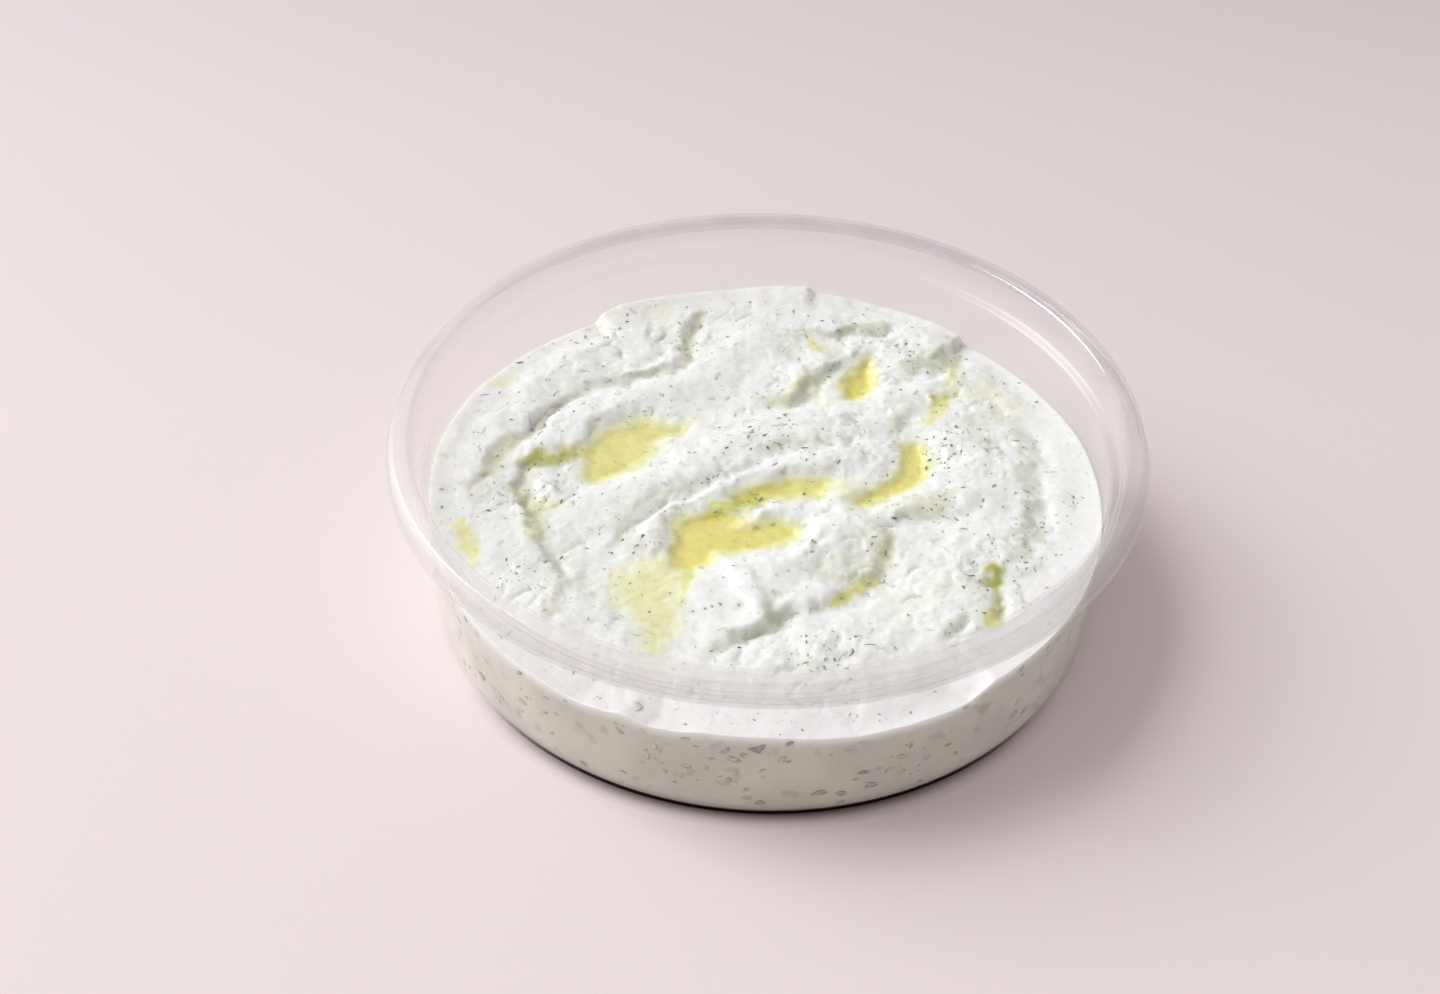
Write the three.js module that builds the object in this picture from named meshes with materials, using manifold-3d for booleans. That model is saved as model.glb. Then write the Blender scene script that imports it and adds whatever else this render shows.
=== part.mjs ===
// A round clear deli pot of tzatziki: the thin-walled pot with its rolled rim, the spooned yoghurt
// dip that fills the lower half of it, and the olive oil that stands in the dip's hollows.
// Millimetres, +Z up, +Y towards the back. The origin is the middle of the ring the pot stands on.
import * as THREE from "three";
import { mergeVertices } from "three/addons/utils/BufferGeometryUtils.js";
import Module from "manifold-3d";

const manifoldLibrary = await Module();
manifoldLibrary.setup();

// The pot.
const POT_HEIGHT = 32.5;
const SHEET = 0.6;
const FOOT_INNER = 44.5;
const PANEL_RISE = 0.8;
const BASE_RADIUS = 53.8;
const BASE_CORNER = 1.8;
const WALL_TOP_RADIUS = 54.2;
const WALL_TOP = POT_HEIGHT - 6.7;
const LEDGE_RISE = 0.8;
const NECK_RADIUS = 55.7;
const NECK_FLARE = 0.1;
const RIM_EDGE = 58.3;
const RIM_ROUND = 0.8;
const SKIRT_RADIUS = 59.1;
const SKIRT_BOTTOM = POT_HEIGHT - 4.0;
const POT_SEGMENTS = 72;

// The dip. It stands higher at the back than at the front, and unevenly along the wall: its level
// there by angle in degrees, counted from the right side round by the back.
const GAP = 0.3;
const FRONT_LEVEL = 16.7;
const BACK_LEVEL = 18.4;
const WALL_REACH = 8.0;
const WALL_LEVELS = [
  [2, 17.5], [12, 17.8], [24, 17.1], [34, 16.9], [47.5, 16.8], [49.5, 18.3], [55, 18.7], [67, 18.4],
  [79, 19.0], [81, 19.9], [89, 19.4], [97, 18.7], [107, 18.9], [118, 19.4], [122, 18.8], [124.5, 17.1],
  [133, 17.4], [149, 18.2], [154, 18.8], [173, 19.1], [195, 18.1], [210, 16.7], [225, 16.2], [240, 15.7],
  [248, 16.8], [252, 15.9], [260, 16.9], [270, 16.9], [284, 15.8], [302, 15.6], [308, 17.5], [323, 17.3],
  [331, 16.8], [345, 17.3],
];
const DIP_RINGS = 30;
const CURVE_STEPS = 6;

// Where the spoon heaped the dip up: the height of the swell along a path over the surface, and how
// far it falls away on the left and on the right of the path.
const SWELLS = [
  {
    height: 1.1, left: 6, right: 4,
    path: [
      [-15, 45.5], [-26, 37], [-35.5, 28.5], [-41.5, 19.5], [-46.5, 8], [-46.5, -3.5],
      [-43.5, -15.5]
    ],
  },
  {
    height: 1.3, left: 5, right: 5,
    path: [[-3, 38], [-10, 27.5], [-21, 21.5], [-31, 14.5], [-37.5, 8]],
  },
  { height: 0.9, left: 9, right: 8, path: [[-5, 45.5], [3, 41], [6, 31]] },
  { height: 0.8, left: 4, right: 4, path: [[12.5, 44], [18.5, 43], [25.5, 42]] },
  { height: 0.9, left: 5, right: 5, path: [[25.5, 37.5], [29.5, 38.5], [33.5, 38.5]] },
  {
    height: 1.3, left: 5, right: 5,
    path: [[-35, -11], [-28, -6], [-18, 0], [-9, 6], [0, 11.5], [10, 14.5], [17.5, 17.5]],
  },
  { height: 1.3, left: 3.5, right: 3.5, path: [[4, 5], [11, 5.5], [17, 6]] },
  { height: 0.7, left: 4, right: 4, path: [[23.5, 22.5], [26.5, 25.5], [32.5, 28.5]] },
  {
    height: 1.2, left: 2.5, right: 2,
    path: [[-21, -15.5], [-17, -11.5], [-12, -6.5], [-6, -3], [0, 2], [8, 3]],
  },
  { height: 2.0, left: 8, right: 7, path: [[-6, -26], [0, -24]] },
  { height: 1.4, left: 5, right: 5, path: [[2, -17], [8, -13], [15, -10]] },
  { height: 1.3, left: 3.5, right: 3, path: [[13, -5], [21.5, -3.5], [30.5, -3]] },
  { height: 1.2, left: 7, right: 6, path: [[30.5, 15.5], [33.5, 6.5], [34.5, -2], [35.5, -11.5]] },
  { height: 1.0, left: 7, right: 6, path: [[22, -13.5], [28, -19.5], [27, -28]] },
  { height: 0.9, left: 6, right: 5, path: [[-38, -19], [-30, -29], [-22, -34]] },
  { height: 0.8, left: 6, right: 6, path: [[-4, -40.5], [9, -36], [22, -32]] },
  { height: 1.3, left: 2.4, right: 2.4, path: [[-36, -2.5], [-34.5, -1]] },
  { height: 1.9, left: 2.4, right: 2, path: [[-3.5, -8.5], [1.5, -7.5]] },
  { height: 0.3, left: 3, right: 3, path: [[47.5, 12.5], [48, 1], [47, -9]] },
];

// Where one lip of dip lies over the next: the lip rises on the left of the path and the surface
// drops on its right, each over its own width, with an edge of its own width between them.
const NARROWEST_EDGE = 1.8;
const FOLDS = [
  {
    rise: 0.6, highWidth: 4.5, drop: 0.9, lowWidth: 2.2, edge: 2.0,
    path: [[-46.5, -2], [-45, 3.5], [-40.5, 11], [-38, 15], [-34, 21], [-31, 23.5]],
  },
  {
    rise: 0.7, highWidth: 4.5, drop: 0.7, lowWidth: 2.0, edge: 1.4,
    path: [[-29, 25], [-24, 26], [-19, 29], [-16, 30]],
  },
  {
    rise: 1.0, highWidth: 4.5, drop: 1.0, lowWidth: 2.2, edge: 2.4,
    path: [[-15.5, 30], [-14.5, 32.5], [-14, 36], [-13, 41], [-11.5, 47]],
  },
  {
    rise: 0.6, highWidth: 4, drop: 0.7, lowWidth: 2, edge: 1.4,
    path: [[-40.5, 4], [-36, 6.5], [-31, 9], [-28, 12.5], [-22, 15.5], [-15, 16]],
  },
  {
    rise: 0.5, highWidth: 4, drop: 1.0, lowWidth: 2.5, edge: 2.0,
    path: [[-35, -14.5], [-37.5, -8.5], [-39.5, -2.5], [-40, 3.5]],
  },
  {
    rise: 0.5, highWidth: 4, drop: 0.7, lowWidth: 1.6, edge: 1.6,
    path: [[-25, -17.5], [-22.5, -12.5], [-19.5, -8], [-13.5, -3.5], [-7.5, 1.5], [-2, 5]],
  },
  {
    rise: 0.35, highWidth: 1.6, drop: 0.5, lowWidth: 1.6, edge: 1.2,
    path: [[-18.5, -12], [-13.5, -7.5], [-7.5, -2.5], [-1.5, 1.5], [6, 3]],
  },
  {
    rise: 1.0, highWidth: 5, drop: 0.9, lowWidth: 2.6, edge: 2.6,
    path: [[0, 21], [4, 22], [7.5, 24.5], [10.5, 28], [13.5, 31.5], [18, 34]],
  },
  {
    rise: 0.9, highWidth: 3, drop: 0.9, lowWidth: 1.8, edge: 1.6,
    path: [[12.5, 40.5], [16, 40], [20, 41], [23, 43]],
  },
  {
    rise: 1.1, highWidth: 5, drop: 1.0, lowWidth: 2.6, edge: 3.0,
    path: [[25.5, 29.5], [28.5, 30.5], [31, 32.5], [33.5, 35], [35, 38]],
  },
  {
    rise: 0.6, highWidth: 3.5, drop: 0.7, lowWidth: 2.2, edge: 2.2,
    path: [[21.5, 9], [22.5, 15], [26, 18.5], [29, 21.5], [32, 25.5]],
  },
  { rise: 0.5, highWidth: 4, drop: 0.4, lowWidth: 2.5, edge: 2.5, path: [[0, 7.5], [5, 9], [11, 10]] },
  {
    rise: 0.5, highWidth: 5, drop: 0.6, lowWidth: 2.8, edge: 3.4,
    path: [[40, -19.5], [42, -13.5], [42, -6.5], [43.5, 1.5], [44.5, 8], [42.5, 15], [38, 21]],
  },
  {
    rise: 1.2, highWidth: 6, drop: 1.0, lowWidth: 2.6, edge: 4.0,
    path: [[9, -28], [12, -24.5], [16, -21], [18, -16.5], [18.5, -10.5]],
  },
  {
    rise: 0.7, highWidth: 3.5, drop: 0.6, lowWidth: 2.5, edge: 2.4,
    path: [[18.5, -9], [23, -7], [29, -6.5], [34, -7]],
  },
  {
    rise: 0.4, highWidth: 4, drop: 1.0, lowWidth: 1.8, edge: 1.6,
    path: [[33.5, -31], [34.5, -25], [34.5, -19.5]],
  },
  {
    rise: 0.8, highWidth: 4, drop: 1.1, lowWidth: 1.8, edge: 1.8,
    path: [[-9, -37.5], [-5, -34.5], [-1, -32], [3, -30], [8, -28]],
  },
  {
    rise: 0.35, highWidth: 3.5, drop: 0.8, lowWidth: 1.8, edge: 1.6,
    path: [[-30.5, -29], [-31.5, -22], [-33, -17.5], [-35.5, -13.5]],
  },
  {
    rise: 0.7, highWidth: 2.2, drop: 0.5, lowWidth: 1.5, edge: 1.4,
    path: [[-17.5, -18.5], [-16.5, -14.5], [-14.5, -11.5]],
  },
  {
    rise: 0.4, highWidth: 2, drop: 0.7, lowWidth: 1.2, edge: 1.2,
    path: [[5.5, -18.5], [8, -14.5], [11, -12.5]],
  },
  {
    rise: 0.4, highWidth: 2, drop: 0.8, lowWidth: 1.6, edge: 1.4,
    path: [[24.5, -35], [27.5, -32.5], [29.5, -29.5]],
  },
];

// Hollows that hold oil up to a level. Each branch is a path with the half width of the pool
// there. The bed lies deepest towards the left of the path, and it slopes up gently on the right.
const BED_REACH = 2.2;
const SHALLOW_SHARE = 0.75;
const STEEP_BANK = 3.0;
const GENTLE_BANK = 4.5;
const SHORE_SLOPE = 0.25;
const SHORE_INSET = 0.7;
const POOLS = {
  oil_pool_centre: {
    level: 17.2,
    depth: 1.5,
    branches: [
      [[-12, -18.5, 2.0], [-10.5, -14, 3.9], [-9.5, -11, 3.8], [-5, -7.5, 1.9]],
      [[-10, -13.5, 3.4], [-3, -12.5, 3.2], [3, -11, 2.2]],
    ],
  },
  oil_pool_middle: {
    level: 17.5,
    depth: 1.3,
    branches: [
      [[-3.5, -2.5, 1.4], [1, -1, 2.2], [6, 0, 2.6], [10, 1.5, 1.7]],
    ],
  },
  oil_pool_left: {
    level: 17.7,
    depth: 1.1,
    branches: [
      [[-28, 2, 1.8], [-25.5, 5.5, 4.0], [-23, 9, 5.4], [-21, 12, 4.2], [-14.5, 13.5, 1.4]],
    ],
  },
  oil_pool_right: {
    level: 17.6,
    depth: 1.2,
    branches: [
      [[16, -4.5, 1.0], [19.5, -2, 1.8], [23, 1.5, 2.3], [24.5, 5.5, 2.3], [25, 9.5, 1.9]],
    ],
  },
  oil_pool_back: {
    level: 18.0,
    depth: 1.4,
    branches: [
      [[15, 22.5, 1.5], [16, 25, 2.3], [17, 28.5, 2.0], [18.5, 32.5, 1.2]],
    ],
  },
};

const potMaterial = new THREE.MeshStandardMaterial({
  color: 0xe9e4e4,
  roughness: 0.08,
  metalness: 0,
  transparent: true,
  opacity: 0.35,
});
const dipMaterial = new THREE.MeshStandardMaterial({ color: 0xf1f2ee, roughness: 0.45, metalness: 0 });
const oilMaterial = new THREE.MeshStandardMaterial({ color: 0xdfd36a, roughness: 0.06, metalness: 0 });

function mix(from, to, share) {
  return from + (to - from) * share;
}

function addArc(profile, centreR, centreZ, radius, startDegrees, endDegrees, steps) {
  for (let i = 0; i <= steps; i++) {
    const angle = THREE.MathUtils.degToRad(mix(startDegrees, endDegrees, i / steps));
    profile.push(new THREE.Vector2(centreR + radius * Math.cos(angle), centreZ + radius * Math.sin(angle)));
  }
}

// The outer radius of the straight wall at a height.
function wallRadius(z) {
  return mix(BASE_RADIUS, WALL_TOP_RADIUS, (z - BASE_CORNER) / (WALL_TOP - BASE_CORNER));
}

// One thin sheet, formed: raised base panel, foot ring, wall, ledge, neck, rolled rim and skirt.
function potProfile() {
  const profile = [];
  const point = (r, z) => profile.push(new THREE.Vector2(r, z));
  const rimHeight = POT_HEIGHT - RIM_ROUND;
  const neckInner = NECK_RADIUS - SHEET;
  const cornerCentre = BASE_RADIUS - BASE_CORNER;
  // Underneath and outside, going up.
  point(0, PANEL_RISE);
  point(FOOT_INNER - 1.5, PANEL_RISE);
  point(FOOT_INNER, 0);
  addArc(profile, cornerCentre, BASE_CORNER, BASE_CORNER, -90, 0, 4);
  point(WALL_TOP_RADIUS, WALL_TOP);
  point(NECK_RADIUS, WALL_TOP + LEDGE_RISE);
  point(NECK_RADIUS + NECK_FLARE, rimHeight);
  point(NECK_RADIUS + NECK_FLARE + 0.2, POT_HEIGHT - SHEET);
  point(RIM_EDGE - RIM_ROUND, POT_HEIGHT - SHEET);
  point(RIM_EDGE - SHEET, rimHeight);
  point(SKIRT_RADIUS - SHEET, SKIRT_BOTTOM);
  // Round the skirt's edge and back over the rim.
  point(SKIRT_RADIUS - SHEET / 2, SKIRT_BOTTOM - 0.15);
  point(SKIRT_RADIUS, SKIRT_BOTTOM);
  addArc(profile, RIM_EDGE - RIM_ROUND, rimHeight, RIM_ROUND, 14, 90, 3);
  addArc(profile, neckInner + NECK_FLARE + RIM_ROUND, rimHeight, RIM_ROUND, 90, 180, 3);
  // Down the inside.
  point(neckInner, WALL_TOP + LEDGE_RISE + 0.3);
  point(WALL_TOP_RADIUS - SHEET, WALL_TOP + 0.2);
  addArc(profile, cornerCentre, BASE_CORNER, BASE_CORNER - SHEET, 0, -90, 4);
  point(FOOT_INNER + 0.4, SHEET);
  point(FOOT_INNER - 1.1, PANEL_RISE + SHEET);
  point(0, PANEL_RISE + SHEET);
  return profile;
}

function smoothPath(path) {
  const points = path.map(([x, y, halfWidth = 0]) => new THREE.Vector3(x, y, halfWidth));
  const curve = new THREE.CatmullRomCurve3(points, false, "catmullrom");
  return curve.getPoints((points.length - 1) * CURVE_STEPS);
}

// For a point over the surface: its distance to the path, on which side it lies (1 left, -1
// right), how far along the path, and how far it is inside the path's half width.
function alongPath(points, x, y) {
  const nearest = { distance: Infinity, side: 0, share: 0, inside: -Infinity };
  for (let i = 0; i + 1 < points.length; i++) {
    const a = points[i];
    const b = points[i + 1];
    const dx = b.x - a.x;
    const dy = b.y - a.y;
    const length = Math.hypot(dx, dy);
    const t = THREE.MathUtils.clamp(((x - a.x) * dx + (y - a.y) * dy) / length ** 2, 0, 1);
    const offsetX = x - a.x - t * dx;
    const offsetY = y - a.y - t * dy;
    const distance = Math.hypot(offsetX, offsetY);
    const inside = mix(a.z, b.z, t) - distance;
    if (distance < nearest.distance) {
      nearest.distance = distance;
      nearest.side = (dx * offsetY - dy * offsetX) / (length * Math.max(distance, 1e-6));
      nearest.share = (i + t) / (points.length - 1);
    }
    nearest.inside = Math.max(nearest.inside, inside);
  }
  return nearest;
}

const swells = SWELLS.map((swell) => ({ ...swell, points: smoothPath(swell.path) }));
const folds = FOLDS.map((fold) => ({ ...fold, points: smoothPath(fold.path) }));
const pools = Object.values(POOLS).map(({ level, depth, branches }) => ({
  level,
  depth,
  branches: branches.map(smoothPath),
}));

function swellHeight({ points, height, left, right }, x, y) {
  const { distance, side, share } = alongPath(points, x, y);
  const width = (left + right) / 2 + ((left - right) / 2) * side;
  const taper = 0.6 + 0.4 * Math.sin(Math.PI * share) ** 2;
  return height * taper * Math.exp(-((distance / width) ** 2));
}

function foldHeight({ points, rise, highWidth, drop, lowWidth, edge }, x, y) {
  const { distance, side, share } = alongPath(points, x, y);
  const taper = 0.35 + 0.65 * Math.sin(Math.PI * share) ** 0.8;
  const high = rise * Math.exp(-((distance / highWidth) ** 2));
  const low = -drop * Math.exp(-((distance / lowWidth) ** 2));
  const reach = Math.max(edge, NARROWEST_EDGE) / 2;
  return taper * mix(low, high, THREE.MathUtils.smoothstep(side * distance, -reach, reach));
}

// The dip's level along the wall in the direction of a point.
function wallLevel(x, y) {
  const angle = (THREE.MathUtils.radToDeg(Math.atan2(y, x)) + 360) % 360;
  const next = WALL_LEVELS.findIndex(([start]) => start > angle);
  const [startAngle, startLevel] = WALL_LEVELS.at(next > 0 ? next - 1 : -1);
  const [endAngle, endLevel] = WALL_LEVELS[Math.max(next, 0)];
  const turned = (angle - startAngle + 360) % 360;
  const span = (endAngle - startAngle + 360) % 360;
  return mix(startLevel, endLevel, turned / span);
}

// Presses the pool's hollow into a surface that is at height z there.
function pressPool({ level, depth, branches }, x, y, z) {
  let reach = { inside: -Infinity };
  for (const branch of branches) {
    const here = alongPath(branch, x, y);
    if (here.inside > reach.inside) {
      reach = here;
    }
  }
  const { inside, side, distance } = reach;
  const leaning = 0.5 + 0.5 * side * Math.min(distance / Math.max(inside + distance, 0.1), 1);
  if (inside > 0) {
    const fall = 1 - (1 - Math.min(inside / BED_REACH, 1)) ** 2;
    return level - depth * fall * mix(SHALLOW_SHARE, 1, leaning);
  }
  const bank = mix(GENTLE_BANK, STEEP_BANK, leaning);
  const shore = level - SHORE_SLOPE * inside;
  return mix(shore, z, THREE.MathUtils.smoothstep(-inside, 0, bank));
}

function surfaceHeight(x, y) {
  let z = mix(FRONT_LEVEL, BACK_LEVEL, (y + BASE_RADIUS) / (2 * BASE_RADIUS));
  for (const swell of swells) {
    z += swellHeight(swell, x, y);
  }
  for (const fold of folds) {
    z += foldHeight(fold, x, y);
  }
  const edgeRadius = WALL_TOP_RADIUS - SHEET - GAP;
  const byWall = THREE.MathUtils.smoothstep(Math.hypot(x, y), edgeRadius - WALL_REACH, edgeRadius);
  z = mix(z, wallLevel(x, y), byWall);
  for (const pool of pools) {
    z = pressPool(pool, x, y, z);
  }
  return z;
}

function closedGeometry(positions, triangles) {
  const geometry = new THREE.BufferGeometry();
  geometry.setAttribute("position", new THREE.Float32BufferAttribute(positions, 3));
  geometry.setIndex(triangles);
  geometry.computeVertexNormals();
  return geometry;
}

// The dip: a disc of rings, ring k with 6k points, over a body that fits the pot's inside.
function dipGeometry() {
  const positions = [];
  const triangles = [];
  const innerGap = SHEET + GAP;
  const edgeRadius = (z) => wallRadius(z) - innerGap;
  const spacing = edgeRadius(FRONT_LEVEL) / DIP_RINGS;
  positions.push(0, 0, surfaceHeight(0, 0));
  let ringStart = 1;
  let previousStart = 0;
  for (let ring = 1; ring <= DIP_RINGS; ring++) {
    const count = 6 * ring;
    for (let i = 0; i < count; i++) {
      const angle = (2 * Math.PI * i) / count;
      const radius = ring * spacing;
      const z = surfaceHeight(radius * Math.cos(angle), radius * Math.sin(angle));
      const placed = ring === DIP_RINGS ? edgeRadius(z) : radius;
      positions.push(placed * Math.cos(angle), placed * Math.sin(angle), z);
    }
    for (let sector = 0; sector < 6; sector++) {
      for (let i = 0; i < ring; i++) {
        const outer = ringStart + sector * ring + i;
        const outerNext = ringStart + ((sector * ring + i + 1) % count);
        const innerCount = Math.max(6 * (ring - 1), 1);
        const inner = previousStart + ((sector * (ring - 1) + i) % innerCount);
        triangles.push(inner, outer, outerNext);
        if (i + 1 < ring) {
          const innerNext = previousStart + ((sector * (ring - 1) + i + 1) % innerCount);
          triangles.push(inner, outerNext, innerNext);
        }
      }
    }
    previousStart = ringStart;
    ringStart += count;
  }
  // Down the wall, round the corner and in over the base panel.
  const count = 6 * DIP_RINGS;
  const cornerCentre = BASE_RADIUS - BASE_CORNER;
  const cornerRadius = BASE_CORNER - innerGap;
  const floor = [
    [cornerCentre + cornerRadius, BASE_CORNER],
    [cornerCentre + cornerRadius * Math.SQRT1_2, BASE_CORNER - cornerRadius * Math.SQRT1_2],
    [cornerCentre, BASE_CORNER - cornerRadius],
    [FOOT_INNER + 0.6, BASE_CORNER - cornerRadius],
    [FOOT_INNER - 1.0, PANEL_RISE + innerGap],
  ];
  for (const [radius, z] of floor) {
    for (let i = 0; i < count; i++) {
      const angle = (2 * Math.PI * i) / count;
      positions.push(radius * Math.cos(angle), radius * Math.sin(angle), z);
    }
    for (let i = 0; i < count; i++) {
      const next = (i + 1) % count;
      triangles.push(previousStart + i, ringStart + i, previousStart + next);
      triangles.push(previousStart + next, ringStart + i, ringStart + next);
    }
    previousStart = ringStart;
    ringStart += count;
  }
  const centre = ringStart;
  positions.push(0, 0, PANEL_RISE + innerGap);
  for (let i = 0; i < count; i++) {
    triangles.push(previousStart + i, centre, previousStart + ((i + 1) % count));
  }
  return closedGeometry(positions, triangles);
}

function toManifold(geometry) {
  const bare = geometry.clone();
  bare.deleteAttribute("normal");
  bare.deleteAttribute("uv");
  const merged = mergeVertices(bare, 1e-4);
  const mesh = new manifoldLibrary.Mesh({
    numProp: 3,
    vertProperties: new Float32Array(merged.attributes.position.array),
    triVerts: new Uint32Array(merged.index.array),
  });
  return new manifoldLibrary.Manifold(mesh);
}

function toGeometry(manifold) {
  const mesh = manifold.getMesh();
  return closedGeometry(Array.from(mesh.vertProperties), Array.from(mesh.triVerts));
}

// The outline round two circles and what lies between them.
function taperedShape(a, b) {
  const direction = Math.atan2(b.y - a.y, b.x - a.x);
  const tangent = Math.acos(THREE.MathUtils.clamp((a.z - b.z) / Math.hypot(b.x - a.x, b.y - a.y), -1, 1));
  const steps = 6;
  const outline = [];
  for (let i = 0; i <= steps; i++) {
    const angle = direction + mix(tangent, 2 * Math.PI - tangent, i / steps);
    outline.push(new THREE.Vector2(a.x + a.z * Math.cos(angle), a.y + a.z * Math.sin(angle)));
  }
  for (let i = 0; i <= steps; i++) {
    const angle = direction + mix(-tangent, tangent, i / steps);
    outline.push(new THREE.Vector2(b.x + b.z * Math.cos(angle), b.y + b.z * Math.sin(angle)));
  }
  return new THREE.Shape(outline);
}

// Oil up to its level, cut to the dip's bed with the gap under it.
function oilGeometry({ level, depth, branches }, raisedDip) {
  let prism = null;
  for (const branch of branches) {
    const points = branch.map(([x, y, halfWidth]) => new THREE.Vector3(x, y, halfWidth - SHORE_INSET));
    for (let i = 0; i + 1 < points.length; i++) {
      const block = new THREE.ExtrudeGeometry(taperedShape(points[i], points[i + 1]), {
        depth: depth + 1,
        bevelEnabled: false,
      });
      block.translate(0, 0, level - depth - 1);
      const solid = toManifold(block);
      prism = prism ? prism.add(solid) : solid;
    }
  }
  return toGeometry(prism.subtract(raisedDip));
}

const part = new THREE.Group();

function addMesh(name, geometry, material) {
  const mesh = new THREE.Mesh(geometry, material);
  mesh.name = name;
  part.add(mesh);
  return mesh;
}

addMesh("tub", new THREE.LatheGeometry(potProfile(), POT_SEGMENTS), potMaterial).rotation.x = Math.PI / 2;

const dip = dipGeometry();
addMesh("dip", dip, dipMaterial);

const raisedDip = toManifold(dip.clone().translate(0, 0, GAP));
for (const [name, pool] of Object.entries(POOLS)) {
  addMesh(name, oilGeometry(pool, raisedDip), oilMaterial.clone());
}

export default part;
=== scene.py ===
"""Tzatziki dip in a clear round deli pot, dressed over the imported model.

The sculpt works in millimetres over the plan (x to the right, y to the back) and turns into
metres when a mesh is made.
"""
import math

import bpy
import numpy as np
from mathutils import Matrix, Vector


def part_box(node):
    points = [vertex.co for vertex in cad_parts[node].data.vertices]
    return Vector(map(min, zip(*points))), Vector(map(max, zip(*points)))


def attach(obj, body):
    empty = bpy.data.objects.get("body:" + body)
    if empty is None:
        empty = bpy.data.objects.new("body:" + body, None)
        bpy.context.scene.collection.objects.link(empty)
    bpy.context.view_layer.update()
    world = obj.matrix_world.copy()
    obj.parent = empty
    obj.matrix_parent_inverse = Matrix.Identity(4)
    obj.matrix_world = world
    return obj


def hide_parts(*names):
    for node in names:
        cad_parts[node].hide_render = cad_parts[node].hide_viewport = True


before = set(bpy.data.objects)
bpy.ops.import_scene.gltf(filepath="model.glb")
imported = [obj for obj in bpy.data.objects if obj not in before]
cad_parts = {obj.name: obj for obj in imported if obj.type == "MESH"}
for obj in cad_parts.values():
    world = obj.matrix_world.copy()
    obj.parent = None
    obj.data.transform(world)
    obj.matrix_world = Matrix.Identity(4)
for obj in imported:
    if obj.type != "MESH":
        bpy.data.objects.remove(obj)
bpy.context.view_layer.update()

MM = 0.001
FAR = 1e9
scene = bpy.context.scene

# The camera that was fitted to the pot's rings in the photo, in millimetres.
CAMERA_PLACE = (-7.2, -221.1, 205.1)
CAMERA_RIGHT = (0.99993, 0.00763, 0.00886)
CAMERA_UP = (-0.01169, 0.65258, 0.75763)
CAMERA_LENS = 45.0

# The key light and the floor, in metres.
KEY_PLACE = (-1.37, 0.50, 1.04)
KEY_SIZE = 1.25
KEY_WATTS = 33.5
KEY_COLOUR = (0.97, 0.985, 1.0)
FLOOR_HALF = 3.0

# Sizes from the frame.
_, tub_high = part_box("tub")
POT_HEIGHT = tub_high.z / MM
SKIRT_RADIUS = tub_high.x / MM

# The pot's sheet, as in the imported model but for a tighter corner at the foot.
SHEET = 0.6
FOOT_INNER = 44.5
PANEL_RISE = 0.8
BASE_RADIUS = 53.8
BASE_CORNER = 1.0
WALL_TOP_RADIUS = 54.2
WALL_TOP = POT_HEIGHT - 6.7
LEDGE_RISE = 0.8
NECK_RADIUS = 55.7
NECK_FLARE = 0.1
RIM_EDGE = 58.3
RIM_ROUND = 0.8
SKIRT_BOTTOM = POT_HEIGHT - 4.0
FOOT_RINGS = (1.2, 1.6)
POT_SEGMENTS = 432
ARC_STEPS = 7

# How far the dip reaches into the pot's wall, so that no air gap shows.
INTO_WALL = SHEET * 0.6

# Radii from the middle between which the painted contact shadow on the floor fades out.
CONTACT_SHADOW_REACH = (BASE_RADIUS - 0.6, BASE_RADIUS + 2.4)

# Smooth noise: amount, scale in millimetres and seed of each wave.
WANDER_X = [(1.5, 6.0, 11), (0.9, 2.4, 12)]
WANDER_Y = [(1.5, 6.0, 13), (0.9, 2.4, 14)]
STAIN_SHORE = [(1.3, 2.0, 21), (0.6, 0.9, 22)]
CREASE_SHORE = [(1.0, 1.7, 23), (0.5, 0.8, 24)]
LUMPS = [(0.50, 4.6, 10), (0.26, 2.2, 5)]
CRACK_WIDTH = 0.14

FRONT_LEVEL = 16.7
BACK_LEVEL = 18.4
WALL_LEVELS = [(2, 17.5), (12, 17.8), (24, 17.1), (34, 16.9), (47.5, 16.8), (49.5, 18.3),
               (55, 18.7), (67, 18.4), (79, 19.0), (81, 19.9), (89, 19.4), (97, 18.7),
               (107, 18.9), (118, 19.4), (122, 18.8), (124.5, 17.1), (133, 17.4), (149, 18.2),
               (154, 18.8), (173, 19.1), (195, 18.1), (210, 16.7), (225, 16.2), (240, 15.7),
               (248, 16.8), (252, 15.9), (260, 16.9), (270, 16.9), (284, 15.8), (302, 15.6),
               (308, 17.5), (323, 17.3), (331, 16.8), (345, 17.3)]
WALL_REACH = 8.0
FIELD_STEP = 0.4
FIELD_HALF = 145
DIP_RINGS = 160
CURVE_STEPS = 6
OIL_STEP = 0.3

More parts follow.
